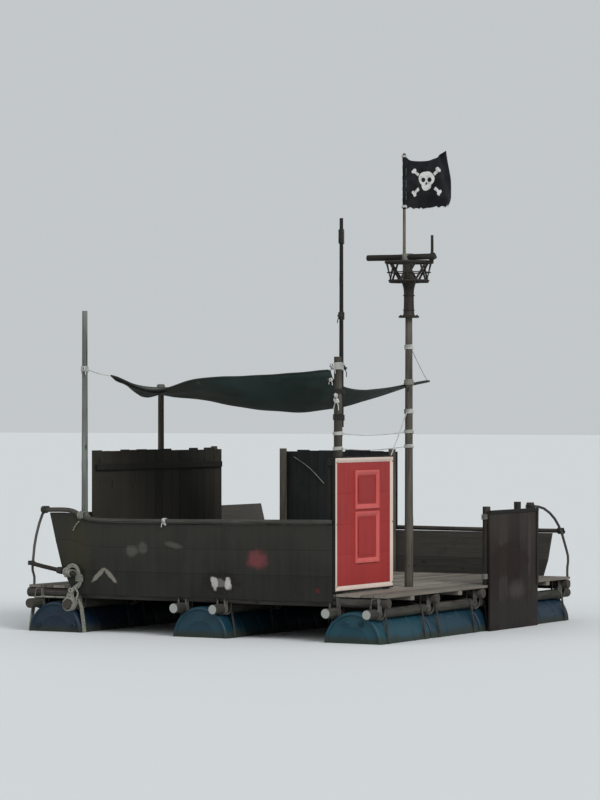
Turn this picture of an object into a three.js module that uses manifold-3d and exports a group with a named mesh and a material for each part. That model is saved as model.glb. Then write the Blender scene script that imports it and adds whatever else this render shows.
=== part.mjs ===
import * as THREE from "three";
import Module from "manifold-3d";
import { mergeVertices } from "three/addons/utils/BufferGeometryUtils.js";

// Pole raft on plastic drums. Millimetres, X along the front face, +Y away from it along the drum rows,
// +Z up, Z zero at the bottom of the drums.

// Driving dimensions
const GAP = 0.3;                  // between pieces that touch
const FACET_SLACK = 1.8;          // many-sided poles and drums meet a little lower than round ones
const DRUM_RADIUS = 290;          // over the rolling hoops
const DRUM_LENGTH = 930;
const DRUM_PITCH = 950;
const DRUM_SIDES = 20;
const ROW_PITCH = 1530;
const CRADLE_OFFSET = 200;        // of a cradle pole from its row's middle
const POLE_RADIUS = 45;
const CRADLE_LENGTH = 4000;
const CROSS = { left: -1866, right: 1845, pitch: 900, count: 5 };
const POLE_SIDES = 12;
const DECK_HALF_X = 1845;
const DECK_HALF_Y = 1845;
const DECK_SECTIONS = 4;
const BOARDS_PER_SECTION = 7;
const BOARD_SEAM = 9;
const BOARD_THICKNESS = 24;
const BATTEN = { width: 70, height: 38, inset: 4, at: [-1360, -450, 450, 1360] };
const PANEL_THICKNESS = 22;
const HULL_FACE = 1846;           // inner face of the long panels, from the middle
const HULL_BOTTOM = 645;
const FRONT_RIGHT = 1324;         // right end of the front panel
const BACK_TOP = 1125;
const RAIL_RADIUS = 22;
const WALL = { outer: -1270, inner: -1250, y0: -1680, y1: 560, top: 1940 };
const BACK_WALL = { x0: -1325, x1: -25, thickness: 18, top: 1905 };
const SIDE_PANEL = { thickness: 20.7, y0: 80, y1: 1080, z0: 262, z1: 1390 };
const SIGN = { y0: -1866, y1: -800, z0: 728, z1: 1897, border: 52, board: 18, depth: 30 };
const POST_RADIUS = 36;
const MAST = { x: 1283, y: -1690, foot: 40, tip: 36, top: 2760 };
const TOPMAST = { beside: 58.5, z0: 2150, z1: 3960, foot: 21, tip: 16 };
const NEST_POLE = { x: 1335, y: -480, foot: 40, tip: 30, top: 3700 };
const NEST = {
  z0: 3436, z1: 3622, r0: 180, r1: 205, floor: 16, bore: 31.3, rim: 14, slat: 8, slats: 8, cross: 0.72,
};
const SOCKET = { height: 312, bore: 32.3, flange: 92, waist: 46, collar: 62 };
const YARD = { x0: 945, x1: 1630, radius: 28, pegX: 1600, pegZ0: 3600, pegZ1: 3855, peg: 14 };
const STAFF = { beside: 46.3, z1: 4600, foot: 15, tip: 11 };
const FLAG = {
  length: 500, height: 490, thickness: 5, heading: 60, middle: 4345, lift: 30, wave: 34, start: 13.5,
};
const CANOPY = {
  thickness: 12, inset: 90, belly: 275, frontSag: 38, backSag: 85, leftSag: 35, rightSag: 420,
  dip: 125, dipAt: 0.18, dipWidth: 0.14, along: 24, across: 14,
};
const CANE_RADIUS = 13;
const BOW_BAR_RADIUS = 20;

// Levels that follow from the dimensions
const CRADLE_Z = DRUM_RADIUS
  + Math.sqrt((DRUM_RADIUS + POLE_RADIUS) ** 2 - CRADLE_OFFSET ** 2) + GAP - FACET_SLACK;
const CROSS_Z = CRADLE_Z + 2 * POLE_RADIUS + GAP;
const DECK_BOTTOM = CROSS_Z + POLE_RADIUS + GAP;
const DECK_TOP = DECK_BOTTOM + BOARD_THICKNESS;
const FOOT = DECK_TOP + GAP;

const COLOUR = {
  drum: 0x1d4f78, pole: 0x8f8676, wood: 0x7b6a55, dark: 0x40332c, hull: 0x4a4541,
  maroon: 0x5a3436, red: 0xa8303a, cream: 0xe2cfc4, canopy: 0x1f3b30, black: 0x16161a, grey: 0x8a8a86,
};

const wasm = await Module();
wasm.setup();
const raft = new THREE.Group();
raft.name = "raft";

/** Adds one closed body to the raft under its own name. */
function add(name, geometry, colour) {
  const material = new THREE.MeshStandardMaterial({ color: colour, roughness: 0.8, metalness: 0 });
  const mesh = new THREE.Mesh(geometry, material);
  mesh.name = name;
  raft.add(mesh);
}

/** A box between two corners. */
function box(x0, x1, y0, y1, z0, z1) {
  const shape = new THREE.BoxGeometry(x1 - x0, y1 - y0, z1 - z0);
  return shape.translate((x0 + x1) / 2, (y0 + y1) / 2, (z0 + z1) / 2);
}

/** A round pole from one point to another, with a radius at each end. */
function pole(from, to, radius, endRadius = radius, sides = POLE_SIDES) {
  const a = new THREE.Vector3(...from);
  const b = new THREE.Vector3(...to);
  const along = b.clone().sub(a);
  const shape = new THREE.CylinderGeometry(endRadius, radius, along.length(), sides);
  const turn = new THREE.Quaternion().setFromUnitVectors(new THREE.Vector3(0, 1, 0), along.normalize());
  shape.applyQuaternion(turn);
  return shape.translate(...a.add(b).multiplyScalar(0.5).toArray());
}

/** A flat plate drawn as [x, z] corners and laid between two Y planes. */
function plateAcrossY(corners, y0, y1) {
  const outline = new THREE.Shape(corners.map(([x, z]) => new THREE.Vector2(x, z)));
  const shape = new THREE.ExtrudeGeometry(outline, { depth: y1 - y0, bevelEnabled: false });
  return shape.rotateX(Math.PI / 2).translate(0, y1, 0);
}

/** A smooth path through a list of points. */
function pathThrough(points) {
  return new THREE.CatmullRomCurve3(points.map((p) => new THREE.Vector3(...p)));
}

/** A bent round rod along a path. */
function rod(path, radius, steps = 16, sides = 8) {
  const round = new THREE.Shape();
  round.absarc(0, 0, radius, 0, 2 * Math.PI, false);
  return new THREE.ExtrudeGeometry(round, { extrudePath: path, steps, curveSegments: sides / 2 });
}

/** A three.js geometry as a manifold body, its vertices merged. */
function solid(geometry) {
  const bare = geometry.clone();
  bare.deleteAttribute("normal");
  bare.deleteAttribute("uv");
  const merged = mergeVertices(bare, 1e-3);
  return new wasm.Manifold(new wasm.Mesh({
    numProp: 3,
    vertProperties: Float32Array.from(merged.attributes.position.array),
    triVerts: Uint32Array.from(merged.index.array),
  }));
}

/** The union of several geometries as one geometry. */
function fused(geometries) {
  const whole = geometries.map(solid).reduce((sum, next) => sum.add(next));
  const mesh = whole.getMesh();
  const out = new THREE.BufferGeometry();
  out.setAttribute("position", new THREE.Float32BufferAttribute(mesh.vertProperties, 3));
  out.setIndex([...mesh.triVerts]);
  return out;
}

/** Moves each vertex of a geometry by a function of its own place. */
function shaped(geometry, move) {
  const at = geometry.attributes.position;
  for (let i = 0; i < at.count; i += 1) {
    at.setXYZ(i, ...move(at.getX(i), at.getY(i), at.getZ(i)));
  }
  return geometry;
}

/** A closed ring turned from a [radius, height] profile about an upright axis. */
function turned(profile, x, y, z) {
  const ring = new THREE.LatheGeometry(profile.map(([r, h]) => new THREE.Vector2(r, h)), POLE_SIDES);
  return ring.rotateX(Math.PI / 2).translate(x, y, z);
}

// Drums: a lathe profile of [radius, distance along the axis], ends recessed inside their rims
const half = DRUM_LENGTH / 2;
const drumProfile = [
  [0, 14 - half], [248, 14 - half], [257, -half], [274, -half], [283, 26 - half],
  [283, -172], [DRUM_RADIUS, -155], [283, -138],
];
const wholeProfile = drumProfile.concat([...drumProfile].reverse().map(([r, y]) => [r, -y]));
const rowsX = [-ROW_PITCH, 0, ROW_PITCH];
rowsX.forEach((x, row) => {
  for (let i = 0; i < 4; i += 1) {
    const outline = wholeProfile.map(([r, y]) => new THREE.Vector2(r, y));
    const drum = new THREE.LatheGeometry(outline, DRUM_SIDES);
    add(`drum_${row + 1}_${i + 1}`, drum.translate(x, (i - 1.5) * DRUM_PITCH, DRUM_RADIUS), COLOUR.drum);
  }
  for (const [side, sign] of [["left", -1], ["right", 1]]) {
    const px = x + sign * CRADLE_OFFSET;
    const ends = [[px, -CRADLE_LENGTH / 2, CRADLE_Z], [px, CRADLE_LENGTH / 2, CRADLE_Z]];
    add(`cradle_pole_${row + 1}_${side}`, pole(...ends, POLE_RADIUS), COLOUR.pole);
  }
});

// Cross poles over the cradle poles
for (let i = 0; i < CROSS.count; i += 1) {
  const y = (i - (CROSS.count - 1) / 2) * CROSS.pitch;
  const ends = [[CROSS.left, y, CROSS_Z], [CROSS.right, y, CROSS_Z]];
  add(`cross_pole_${i + 1}`, pole(...ends, POLE_RADIUS), COLOUR.pole);
}

// Deck sections: boards side by side on battens that hang between the cross poles
const sectionWidth = (2 * DECK_HALF_X) / DECK_SECTIONS;
const boardPitch = sectionWidth / BOARDS_PER_SECTION;
for (let s = 0; s < DECK_SECTIONS; s += 1) {
  const left = -DECK_HALF_X + s * sectionWidth;
  const pieces = [];
  for (let b = 0; b < BOARDS_PER_SECTION; b += 1) {
    const x0 = left + b * boardPitch + BOARD_SEAM / 2;
    pieces.push(box(x0, x0 + boardPitch - BOARD_SEAM, -DECK_HALF_Y, DECK_HALF_Y, DECK_BOTTOM, DECK_TOP));
  }
  for (const y of BATTEN.at) {
    const x0 = left + BOARD_SEAM / 2 + BATTEN.inset;
    const x1 = left + sectionWidth - BOARD_SEAM / 2 - BATTEN.inset;
    const [y0, y1] = [y - BATTEN.width / 2, y + BATTEN.width / 2];
    pieces.push(box(x0, x1, y0, y1, DECK_BOTTOM - BATTEN.height, DECK_BOTTOM + BATTEN.inset));
  }
  add(`deck_section_${s + 1}`, fused(pieces), COLOUR.wood);
}

// Front rail: it runs level along the hull and steps up over the stem. The panel's top edge follows it.
const railY = HULL_FACE + RAIL_RADIUS;
const RAIL_STEPS = 30;
const railPath = pathThrough([
  [-1665, -railY, 1397], [-1370, -railY, 1394], [-1150, -railY, 1318], [-600, -railY, 1311],
  [600, -railY, 1326], [FRONT_RIGHT - 4, -railY, 1336],
]);
add("front_rail", rod(railPath, RAIL_RADIUS, RAIL_STEPS), COLOUR.pole);
const underRail = railPath.getSpacedPoints(RAIL_STEPS).map((p, i) => {
  const along = railPath.getTangentAt(i / RAIL_STEPS);
  return [p.x + along.z * (RAIL_RADIUS + GAP), p.z - along.x * (RAIL_RADIUS + GAP)];
});

// Hull panels outside the deck's edge, with a raked stem at the left, and the bow board behind the stem
const STEM = [[-1335, HULL_BOTTOM], [-1462, 870], [-1535, 1130], [-1596, 1371]];
/** X of the stem's outer edge at a height. */
function stemX(z) {
  const i = Math.max(1, Math.min(STEM.length - 1, STEM.findIndex(([, top]) => top >= z)));
  const [[x0, z0], [x1, z1]] = [STEM[i - 1], STEM[i]];
  return x0 + ((z - z0) / (z1 - z0)) * (x1 - x0);
}
const overStem = underRail.filter(([x]) => x > STEM[3][0] + 10);
const frontPanel = [
  [FRONT_RIGHT, HULL_BOTTOM], [FRONT_RIGHT, underRail[RAIL_STEPS][1]],
  ...[...overStem].reverse(), ...[...STEM].reverse(),
];
add("front_panel", plateAcrossY(frontPanel, -HULL_FACE - PANEL_THICKNESS, -HULL_FACE), COLOUR.hull);
const backPanel = [
  [1530, HULL_BOTTOM], [1618, 930], [1645, BACK_TOP], [stemX(BACK_TOP), BACK_TOP],
  [stemX(870), 870], [stemX(HULL_BOTTOM), HULL_BOTTOM],
];
add("back_panel", plateAcrossY(backPanel, HULL_FACE, HULL_FACE + PANEL_THICKNESS), COLOUR.grey);
const bowLevels = [FOOT, 870, 1130, 1362];
const bowBoard = [
  ...bowLevels.map((z) => [stemX(z) + 3, z]), ...[...bowLevels].reverse().map((z) => [stemX(z) + 27, z]),
];
add("bow_board", plateAcrossY(bowBoard, -HULL_FACE + 1, HULL_FACE - 1), COLOUR.dark);
const backRailZ = BACK_TOP + RAIL_RADIUS + GAP;
add("back_rail", pole([-1620, railY, backRailZ], [1735, railY, backRailZ], RAIL_RADIUS), COLOUR.pole);

// Standing poles. Each has its place, its top and its radius at foot and top.
const postY = HULL_FACE - GAP;
const wallPoleX = WALL.outer - 35;
const sideX = DECK_HALF_X - POST_RADIUS;
const post = { foot: POST_RADIUS, tip: POST_RADIUS };
const standing = [
  { name: "left_pole", x: -1255, y: -postY + 32, top: 3190, foot: 32, tip: 24 },
  { name: "sign_post_front", x: 1288, y: -postY + POST_RADIUS, top: 1880, ...post },
  { name: "sign_post_rear", x: 1288, y: SIGN.y1 - POST_RADIUS, top: 1880, ...post },
  { name: "mast", ...MAST },
  { name: "nest_pole", ...NEST_POLE },
  { name: "canopy_pole", x: wallPoleX, y: -450, top: 2540, foot: 32, tip: 28 },
  { name: "left_rear_post", x: wallPoleX, y: 510, top: 1950, foot: 34, tip: 32 },
  { name: "back_left_post", x: -1290, y: postY - POST_RADIUS, top: 1915, ...post },
  { name: "back_middle_post", x: -60, y: postY - POST_RADIUS, top: 1915, ...post },
  { name: "back_right_post", x: 1300, y: postY - POST_RADIUS, top: 1420, foot: POST_RADIUS, tip: 34 },
  { name: "side_post_near", x: sideX, y: SIDE_PANEL.y0 + 45, top: 1425, ...post },
  { name: "side_post_far", x: sideX, y: SIDE_PANEL.y1 - 45, top: 1440, ...post },
];
for (const p of standing) {
  add(p.name, pole([p.x, p.y, FOOT], [p.x, p.y, p.top], p.foot, p.tip), COLOUR.pole);
}
const topmastY = MAST.y + TOPMAST.beside;
const topmastEnds = [[MAST.x, topmastY, TOPMAST.z0], [MAST.x, topmastY, TOPMAST.z1]];
add("topmast", pole(...topmastEnds, TOPMAST.foot, TOPMAST.tip), COLOUR.dark);
const staffX = NEST_POLE.x - STAFF.beside;
const staffFoot = [staffX, NEST_POLE.y, NEST.z0 + NEST.floor + GAP];
add("flag_staff", pole(staffFoot, [staffX, NEST_POLE.y, STAFF.z1], STAFF.foot, STAFF.tip), COLOUR.dark);

// Boarded walls of the shelter and the side panel, which hangs outside the deck down to the water
add("left_wall", box(WALL.outer, WALL.inner, WALL.y0, WALL.y1, FOOT, WALL.top), COLOUR.dark);
const backWallFoot = backRailZ + RAIL_RADIUS + GAP;
const backWallY = HULL_FACE + BACK_WALL.thickness;
add("back_wall", box(
  BACK_WALL.x0, BACK_WALL.x1, HULL_FACE, backWallY, backWallFoot, BACK_WALL.top,
), COLOUR.dark);
const sideFace = DECK_HALF_X + GAP;
add("side_panel", box(
  sideFace, sideFace + SIDE_PANEL.thickness, SIDE_PANEL.y0, SIDE_PANEL.y1, SIDE_PANEL.z0, SIDE_PANEL.z1,
), COLOUR.maroon);

// Sign board in its raised frame, on the outer side of the sign posts
const signX = 1288 + POST_RADIUS + GAP;
const signIn = SIGN.border + GAP;
add("sign_board", box(
  signX, signX + SIGN.board, SIGN.y0 + signIn, SIGN.y1 - signIn, SIGN.z0 + signIn, SIGN.z1 - signIn,
), COLOUR.red);
/** Corners of the sign's rectangle, drawn in by a distance, anticlockwise. */
function signCorners(inset) {
  const [y0, y1, z0, z1] = [SIGN.y0 + inset, SIGN.y1 - inset, SIGN.z0 + inset, SIGN.z1 - inset];
  return [[y0, z0], [y1, z0], [y1, z1], [y0, z1]].map(([y, z]) => new THREE.Vector2(y, z));
}
const ring = new THREE.Shape(signCorners(0));
ring.holes.push(new THREE.Path(signCorners(SIGN.border).reverse()));
const signFrame = new THREE.ExtrudeGeometry(ring, { depth: SIGN.depth, bevelEnabled: false });
signFrame.applyMatrix4(new THREE.Matrix4().set(0, 0, 1, signX, 1, 0, 0, 0, 0, 1, 0, 0, 0, 0, 0, 1));
add("sign_frame", signFrame, COLOUR.cream);

// Crow's nest: a floor and a hoop joined by crossing slats, round the nest pole, with a flanged socket
// under it and a short yard with an upright peg over it
const slats = [];
for (let i = 0; i < NEST.slats; i += 1) {
  for (const turn of [-1, 1]) {
    const a = (i / NEST.slats) * 2 * Math.PI;
    const b = a + turn * NEST.cross * ((2 * Math.PI) / NEST.slats);
    const [low, high] = [NEST.r0 - NEST.slat, NEST.r1];
    const foot = [NEST_POLE.x + low * Math.cos(a), NEST_POLE.y + low * Math.sin(a), NEST.z0 + NEST.slat];
    const tip = [NEST_POLE.x + high * Math.cos(b), NEST_POLE.y + high * Math.sin(b), NEST.z1];
    slats.push(pole(foot, tip, NEST.slat, NEST.slat, 6));
  }
}
const nestFloor = turned(
  [[NEST.bore, 0], [NEST.r0, 0], [NEST.r0, NEST.floor], [NEST.bore, NEST.floor], [NEST.bore, 0]],
  NEST_POLE.x, NEST_POLE.y, NEST.z0,
);
const nestHoop = new THREE.TorusGeometry(NEST.r1, NEST.rim, 6, 16);
nestHoop.translate(NEST_POLE.x, NEST_POLE.y, NEST.z1);
add("crows_nest", fused([nestFloor, nestHoop, ...slats]), COLOUR.wood);
const socketProfile = [
  [SOCKET.bore, 0], [SOCKET.flange, 0], [SOCKET.flange, 18], [SOCKET.waist + 6, 32], [SOCKET.waist, 250],
  [SOCKET.collar, SOCKET.height], [NEST.bore, SOCKET.height], [SOCKET.bore, 0],
];
const socketZ = NEST.z0 - SOCKET.height - GAP;
add("nest_socket", turned(socketProfile, NEST_POLE.x, NEST_POLE.y, socketZ), COLOUR.dark);
const yardZ = NEST.z1 + NEST.rim + YARD.radius + 2 * GAP;
const taper = (NEST_POLE.foot - NEST_POLE.tip) / (NEST_POLE.top - FOOT);
const poleAtYard = NEST_POLE.tip + taper * (NEST_POLE.top - yardZ);
const yardY = NEST_POLE.y - poleAtYard - YARD.radius - GAP;
add("nest_yard", fused([
  pole([YARD.x0, yardY, yardZ], [YARD.x1, yardY, yardZ], YARD.radius),
  pole([YARD.pegX, yardY, YARD.pegZ0], [YARD.pegX, yardY, YARD.pegZ1], YARD.peg, YARD.peg, 8),
]), COLOUR.dark);

// Canopy: a slack sheet hung from four corners, its belly low and its right edge steep below the mast
const CORNER = {
  frontLeft: [-1030, -1740, 2606], frontRight: [1243, -1760, 2642],
  backLeft: [wallPoleX + 28.5, -450, 2502], backRight: [1320.8, -40, 2560],
};
/** The sine of half a turn at a share from 0 to 1, raised to a power. */
function arch(share, power = 1) {
  return Math.max(0, Math.sin(Math.PI * share)) ** power;
}
/** A point of the canopy's middle surface, u along the front edge and v from front to back. */
function canopyPoint(u, v) {
  const mix = (k) => (1 - v) * ((1 - u) * CORNER.frontLeft[k] + u * CORNER.frontRight[k])
    + v * ((1 - u) * CORNER.backLeft[k] + u * CORNER.backRight[k]);
  const fromDip = (u - CANOPY.dipAt) / CANOPY.dipWidth;
  const dip = CANOPY.dip * Math.exp(-(fromDip ** 2)) * (1 - Math.exp(-20 * u));
  const front = (dip + CANOPY.frontSag * arch(u)) * (1 - v) ** 2;
  const back = CANOPY.backSag * arch(u ** 1.8) * v ** 3;
  const left = CANOPY.leftSag * (1 - u) ** 4 * arch(v);
  const right = CANOPY.rightSag * u ** 6 * v ** 0.47 * (1 - v) ** 1.3;
  const belly = CANOPY.belly * arch(u ** 1.5, 0.8) * arch(v, 0.9);
  const inset = CANOPY.inset * arch(u) * (1 - 2 * v);
  return [mix(0), mix(1) + inset, mix(2) - front - back - left - right - belly];
}
const sheet = new THREE.BoxGeometry(1, 1, CANOPY.thickness, CANOPY.along, CANOPY.across, 1);
add("canopy", shaped(sheet, (x, y, z) => {
  const [px, py, pz] = canopyPoint(x + 0.5, y + 0.5);
  return [px, py, pz + z];
}), COLOUR.canopy);

// Flag on its staff, waved along its length
const heading = THREE.MathUtils.degToRad(FLAG.heading);
const cloth = new THREE.BoxGeometry(FLAG.length, FLAG.thickness, FLAG.height, 14, 1, 6);
add("flag", shaped(cloth, (x, y, z) => {
  const along = x + FLAG.length / 2;
  const t = along / FLAG.length;
  const out = y + FLAG.wave * t * Math.sin(7.5 * t + z / 260);
  const px = staffX + (FLAG.start + along) * Math.cos(heading) - out * Math.sin(heading);
  const py = NEST_POLE.y + (FLAG.start + along) * Math.sin(heading) + out * Math.cos(heading);
  return [px, py, FLAG.middle + z + FLAG.lift * t * t];
}), COLOUR.black);

// Bent canes that guard the two outer corners, and the short bar at the bow that the left one leans on
const barY = -HULL_FACE - PANEL_THICKNESS - GAP - BOW_BAR_RADIUS;
add("bow_bar", pole([-1805, barY, 915], [-1290, barY, 820], BOW_BAR_RADIUS), COLOUR.pole);
const caneY = barY + BOW_BAR_RADIUS + CANE_RADIUS + 2 * GAP;
const leftCane = pathThrough([
  [-1640, -railY + RAIL_RADIUS + CANE_RADIUS + 0.4, 1410], [-1708, -1831, 1345], [-1762, caneY, 1130],
  [-1788, caneY, 940], [-1800, -1846, 850], [-1810, -1804, 790], [-1810, -1804, FOOT],
]);
const rightCane = pathThrough([
  [sideX, SIDE_PANEL.y1 - 45 + POST_RADIUS + CANE_RADIUS + 0.4, 1405], [1800, 1330, 1380],
  [1778, 1600, 1290], [1768, 1780, 1160], [1795, 1822, 1020], [1830, 1818, 900],
  [1828, 1804, 800], [1828, 1804, FOOT],
]);
add("left_cane", rod(leftCane, CANE_RADIUS, 20), COLOUR.pole);
add("right_cane", rod(rightCane, CANE_RADIUS, 24), COLOUR.pole);

export default raft;
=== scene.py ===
"""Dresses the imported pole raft: round timber, drums, boards, cloth, rope, finishes, light and camera.

Everything is in metres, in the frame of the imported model: X along the front face, +Y away from it, +Z up.
"""

import logging
import math
from dataclasses import dataclass, field, replace
from enum import Enum
from functools import cached_property, reduce
from typing import Callable, Iterable, Sequence, Union

import bpy
import numpy as np
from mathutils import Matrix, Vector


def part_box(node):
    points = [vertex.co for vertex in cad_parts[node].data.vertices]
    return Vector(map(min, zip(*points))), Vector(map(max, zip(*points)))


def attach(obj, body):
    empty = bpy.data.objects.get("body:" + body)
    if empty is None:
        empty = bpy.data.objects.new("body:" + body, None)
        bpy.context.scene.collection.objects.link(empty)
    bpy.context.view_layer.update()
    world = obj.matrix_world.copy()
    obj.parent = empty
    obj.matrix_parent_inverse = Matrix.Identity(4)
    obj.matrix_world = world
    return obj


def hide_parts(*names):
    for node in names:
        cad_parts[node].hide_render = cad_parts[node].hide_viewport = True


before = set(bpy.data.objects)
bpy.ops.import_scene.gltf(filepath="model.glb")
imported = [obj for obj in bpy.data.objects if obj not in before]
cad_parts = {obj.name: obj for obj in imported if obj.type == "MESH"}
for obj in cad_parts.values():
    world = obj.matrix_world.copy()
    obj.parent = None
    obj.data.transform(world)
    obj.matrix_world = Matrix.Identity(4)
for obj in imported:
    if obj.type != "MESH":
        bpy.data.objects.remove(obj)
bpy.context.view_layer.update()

Array = np.ndarray
Point = Sequence[float]
Points = Sequence[Point]
Value = Union["Wire", float, Sequence[float]]
LOG = logging.getLogger("raft")
WATERLINE = 0.3
PAINT: dict[str, bpy.types.Material] = {}
X, Y, Z = np.eye(3)


# Points, paths and surfaces


def vec(*values: float) -> Array:
    """A row of numbers as an array."""
    return np.array(values, float)


def unit(v: Array) -> Array:
    """Vectors brought to length one along the last axis."""
    return v / np.maximum(np.linalg.norm(v, axis=-1, keepdims=True), 1e-12)


def turn(count: int) -> Array:
    """Angles evenly round a full turn."""
    return np.arange(count) / count * 2 * np.pi


def bell(x: Array, middle: float, width: float) -> Array:
    """A rounded bump: exp of minus the squared distance from its middle over its width."""
    return np.exp(-(((x - middle) / width) ** 2))


def run_along(points: Array) -> Array:
    """How far along its line each point lies."""
    return np.concatenate([[0], np.cumsum(np.linalg.norm(np.diff(points, axis=0), axis=1))])


def between(points: Points, t: Array) -> Array:
    """Places at shares t of a line whose points are evenly spaced in t, straight between two of them."""
    p = np.array(points, float)
    return np.stack([np.interp(t, np.linspace(0, 1, len(p)), column) for column in p.T], 1)


def smooth_path(points: Points, count: int) -> Array:
    """A smooth line of count points: cubics whose end slopes are half the step between the neighbours."""
    p = np.array(points, float)
    p = np.vstack([2 * p[0] - p[1], p, 2 * p[-1] - p[-2]])
    s = np.linspace(0, len(points) - 1, count)
    i = np.minimum(s.astype(int), len(points) - 2)
    t = (s - i)[:, None]
    a, b, c, d = p[i], p[i + 1], p[i + 2], p[i + 3]
    return 0.5 * (2 * b + (c - a) * t + (2 * a - 5 * b + 4 * c - d) * t**2 + (3 * b - a - 3 * c + d) * t**3)


def sagging(a: Point, b: Point, sag: float, count: int = 24) -> Array:
    """A hanging line: straight from a to b, less a parabola of depth sag in Z."""
    t = np.linspace(0, 1, count)
    return between((a, b), t) - (sag * 4 * t * (1 - t))[:, None] * Z


def tight_loop(circles: Points, count: int) -> Array:
    """The outline of a rope drawn tight round circles in a plane.

    For each direction the circle that reaches furthest gives the point centre + radius * direction, and the
    points are then spaced evenly along the outline.

    Args:
        circles: Rows of x, y, radius.
        count: Points on the closed outline.

    Returns:
        An array of count by 2, anticlockwise.
    """
    c = np.array(circles, float)
    angle = np.linspace(0, 2 * np.pi, 721)
    n = np.stack([np.cos(angle), np.sin(angle)], 1)
    best = np.argmax(n @ c[:, :2].T + c[:, 2], axis=1)
    p = c[best, :2] + c[best, 2:] * n
    run = run_along(p)
    at = np.linspace(0, run[-1], count, endpoint=False)
    return np.stack([np.interp(at, run, column) for column in p.T], 1)


@dataclass
class Patch:
    """A piece of surface: points, quads with a UV for each corner, caps, and each point's grain place."""

    points: Array
    quads: Array
    uv: Array
    grain: Array
    caps: list[Array]
    tone: float


def weave(grid: Array, closed: tuple[bool, bool] = (False, False), along: Array | None = None,
          grain: Array | None = None, caps: bool = False, tone: float = 0.5, span: float = 1.0) -> Patch:
    """Joins a grid of points with quads. Rows run along the piece and columns across or round it.

    Args:
        grid: Rows by columns by 3.
        closed: Whether the last row and the last column join the first.
        along: U of each row, or else the distance along the rows' middles.
        grain: Grain place of each point, or else the point itself.
        caps: Whether the first and last row are closed with a face.
        tone: A number from 0 to 1 for its finish.
        span: V at the last column.

    Returns:
        The patch.
    """
    rows, cols = grid.shape[:2]
    along = run_along(grid.mean(axis=1)) if along is None else along
    if closed[0]:
        along = np.append(along, 2 * along[-1] - along[-2])
    index = np.arange(rows * cols).reshape(rows, cols)
    across = np.arange(cols + closed[1])
    joined = index[np.ix_(np.arange(rows + closed[0]) % rows, across % cols)]
    u, v = np.meshgrid(along, across / across[-1] * span, indexing="ij")
    quads, uu, vv = (np.stack([f[:-1, :-1], f[:-1, 1:], f[1:, 1:], f[1:, :-1]], -1).reshape(-1, 4)
                     for f in (joined, u, v))
    points = grid.reshape(-1, 3)
    ends = [index[0][::-1], index[-1]] if caps else []
    grain = points if grain is None else grain.reshape(-1, 3)
    return Patch(points, quads, np.stack([uu, vv], -1), grain, ends, tone)


def tube(path: Array, radius: float | Array, sides: int = 8, closed: bool = False, tone: float = 0.5,
         shift: float = 0.0) -> Patch:
    """A round tube: at each path point a ring, side * cos + binormal * sin, times the radius.

    The side is square to the path and to the axis that the path follows least.

    Args:
        path: The centre line, n by 3.
        radius: One radius, one for each point, or one for each point and side.
        sides: Points in a ring.
        closed: Whether the path is a closed loop.
        tone: A number from 0 to 1 for its finish.
        shift: Where its grain begins.

    Returns:
        The patch, with end caps where the path is open.
    """
    step = np.roll(path, -1, 0) - np.roll(path, 1, 0) if closed else np.gradient(path, axis=0)
    t, angle = unit(step), turn(sides)
    side = unit(np.cross(t, np.eye(3)[np.argmin(np.abs(t).max(axis=0))]))
    r = np.broadcast_to(radius if np.ndim(radius) == 2 else np.reshape(radius, (-1, 1)), (len(path), sides))
    across, up = r * np.cos(angle), r * np.sin(angle)
    grid = path[:, None] + side[:, None] * across[..., None] + np.cross(t, side)[:, None] * up[..., None]
    run = run_along(path)
    grain = np.stack([np.broadcast_to(run[:, None] + shift, r.shape), across, up], -1)
    return weave(grid, (closed, True), run, grain, not closed, tone)


def timber(line: Points, foot: float, tip: float, seed: int, bow: float = 0.003, rough: float = 0.03,
           sides: int = 22) -> Patch:
    """A peeled round pole: its radius is the taper times waves round and along it, plus a few knots.

    The waves are sin(2a), sin(3a) and sin(5a) of the angle with phases that drift along the pole, a knot is a
    rounded bump of exp(-distance squared), and the centre line bows in two slow waves, nought at both ends.

    Args:
        line: Its centre line, from the foot to the tip.
        foot, tip: Radius at either end.
        seed: Picks its waves and knots.
        bow: How far the centre line strays.
        rough: Size of the waves as a share of the radius.
        sides: Points in a ring.

    Returns:
        The patch, with eased ends.
    """
    rng = np.random.default_rng(seed)
    reach = np.array(line[-1], float) - np.array(line[0], float)
    length, axis, ease = np.linalg.norm(reach), unit(reach), 0.004
    t = np.linspace(0, 1, max(14, int(length / 0.07)))
    t = np.concatenate([[0, ease / length], t[1:-1], [1 - ease / length, 1]])
    side = unit(np.cross(axis, np.eye(3)[np.argmin(np.abs(axis))]))
    wander = bow * np.sin(np.pi * t) * np.sin(2 * np.pi * t + rng.uniform(0, 6))
    middle = between(line, t) + wander[:, None] * (side + 0.6 * np.cross(axis, side))
    angle = turn(sides)
    wave = sum(
        np.sin(k * angle + rng.uniform(0, 6) + rng.uniform(1, 4) * np.sin(t * rng.uniform(2, 7))[:, None]) * s
        for k, s in ((2, 0.5), (3, 0.3), (5, 0.2)))
    r = ((1 - t) * foot + t * tip)[:, None] * (1 - rough + rough * wave)
    for _ in range(int(length * 2.2) + 1):
        at, way, size = rng.uniform(0.04, 0.96), rng.uniform(0, 6.28), rng.uniform(0.014, 0.028)
        away = ((t - at) * length)[:, None] ** 2 + (foot * np.angle(np.exp(1j * (angle - way)))) ** 2
        r = r + foot * 0.07 * np.exp(-away / size**2)
    r[[0, -1]] *= 0.93
    return tube(middle, r, sides, shift=float(seed) * 3.7, tone=float(rng.uniform(0, 1)))


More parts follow.
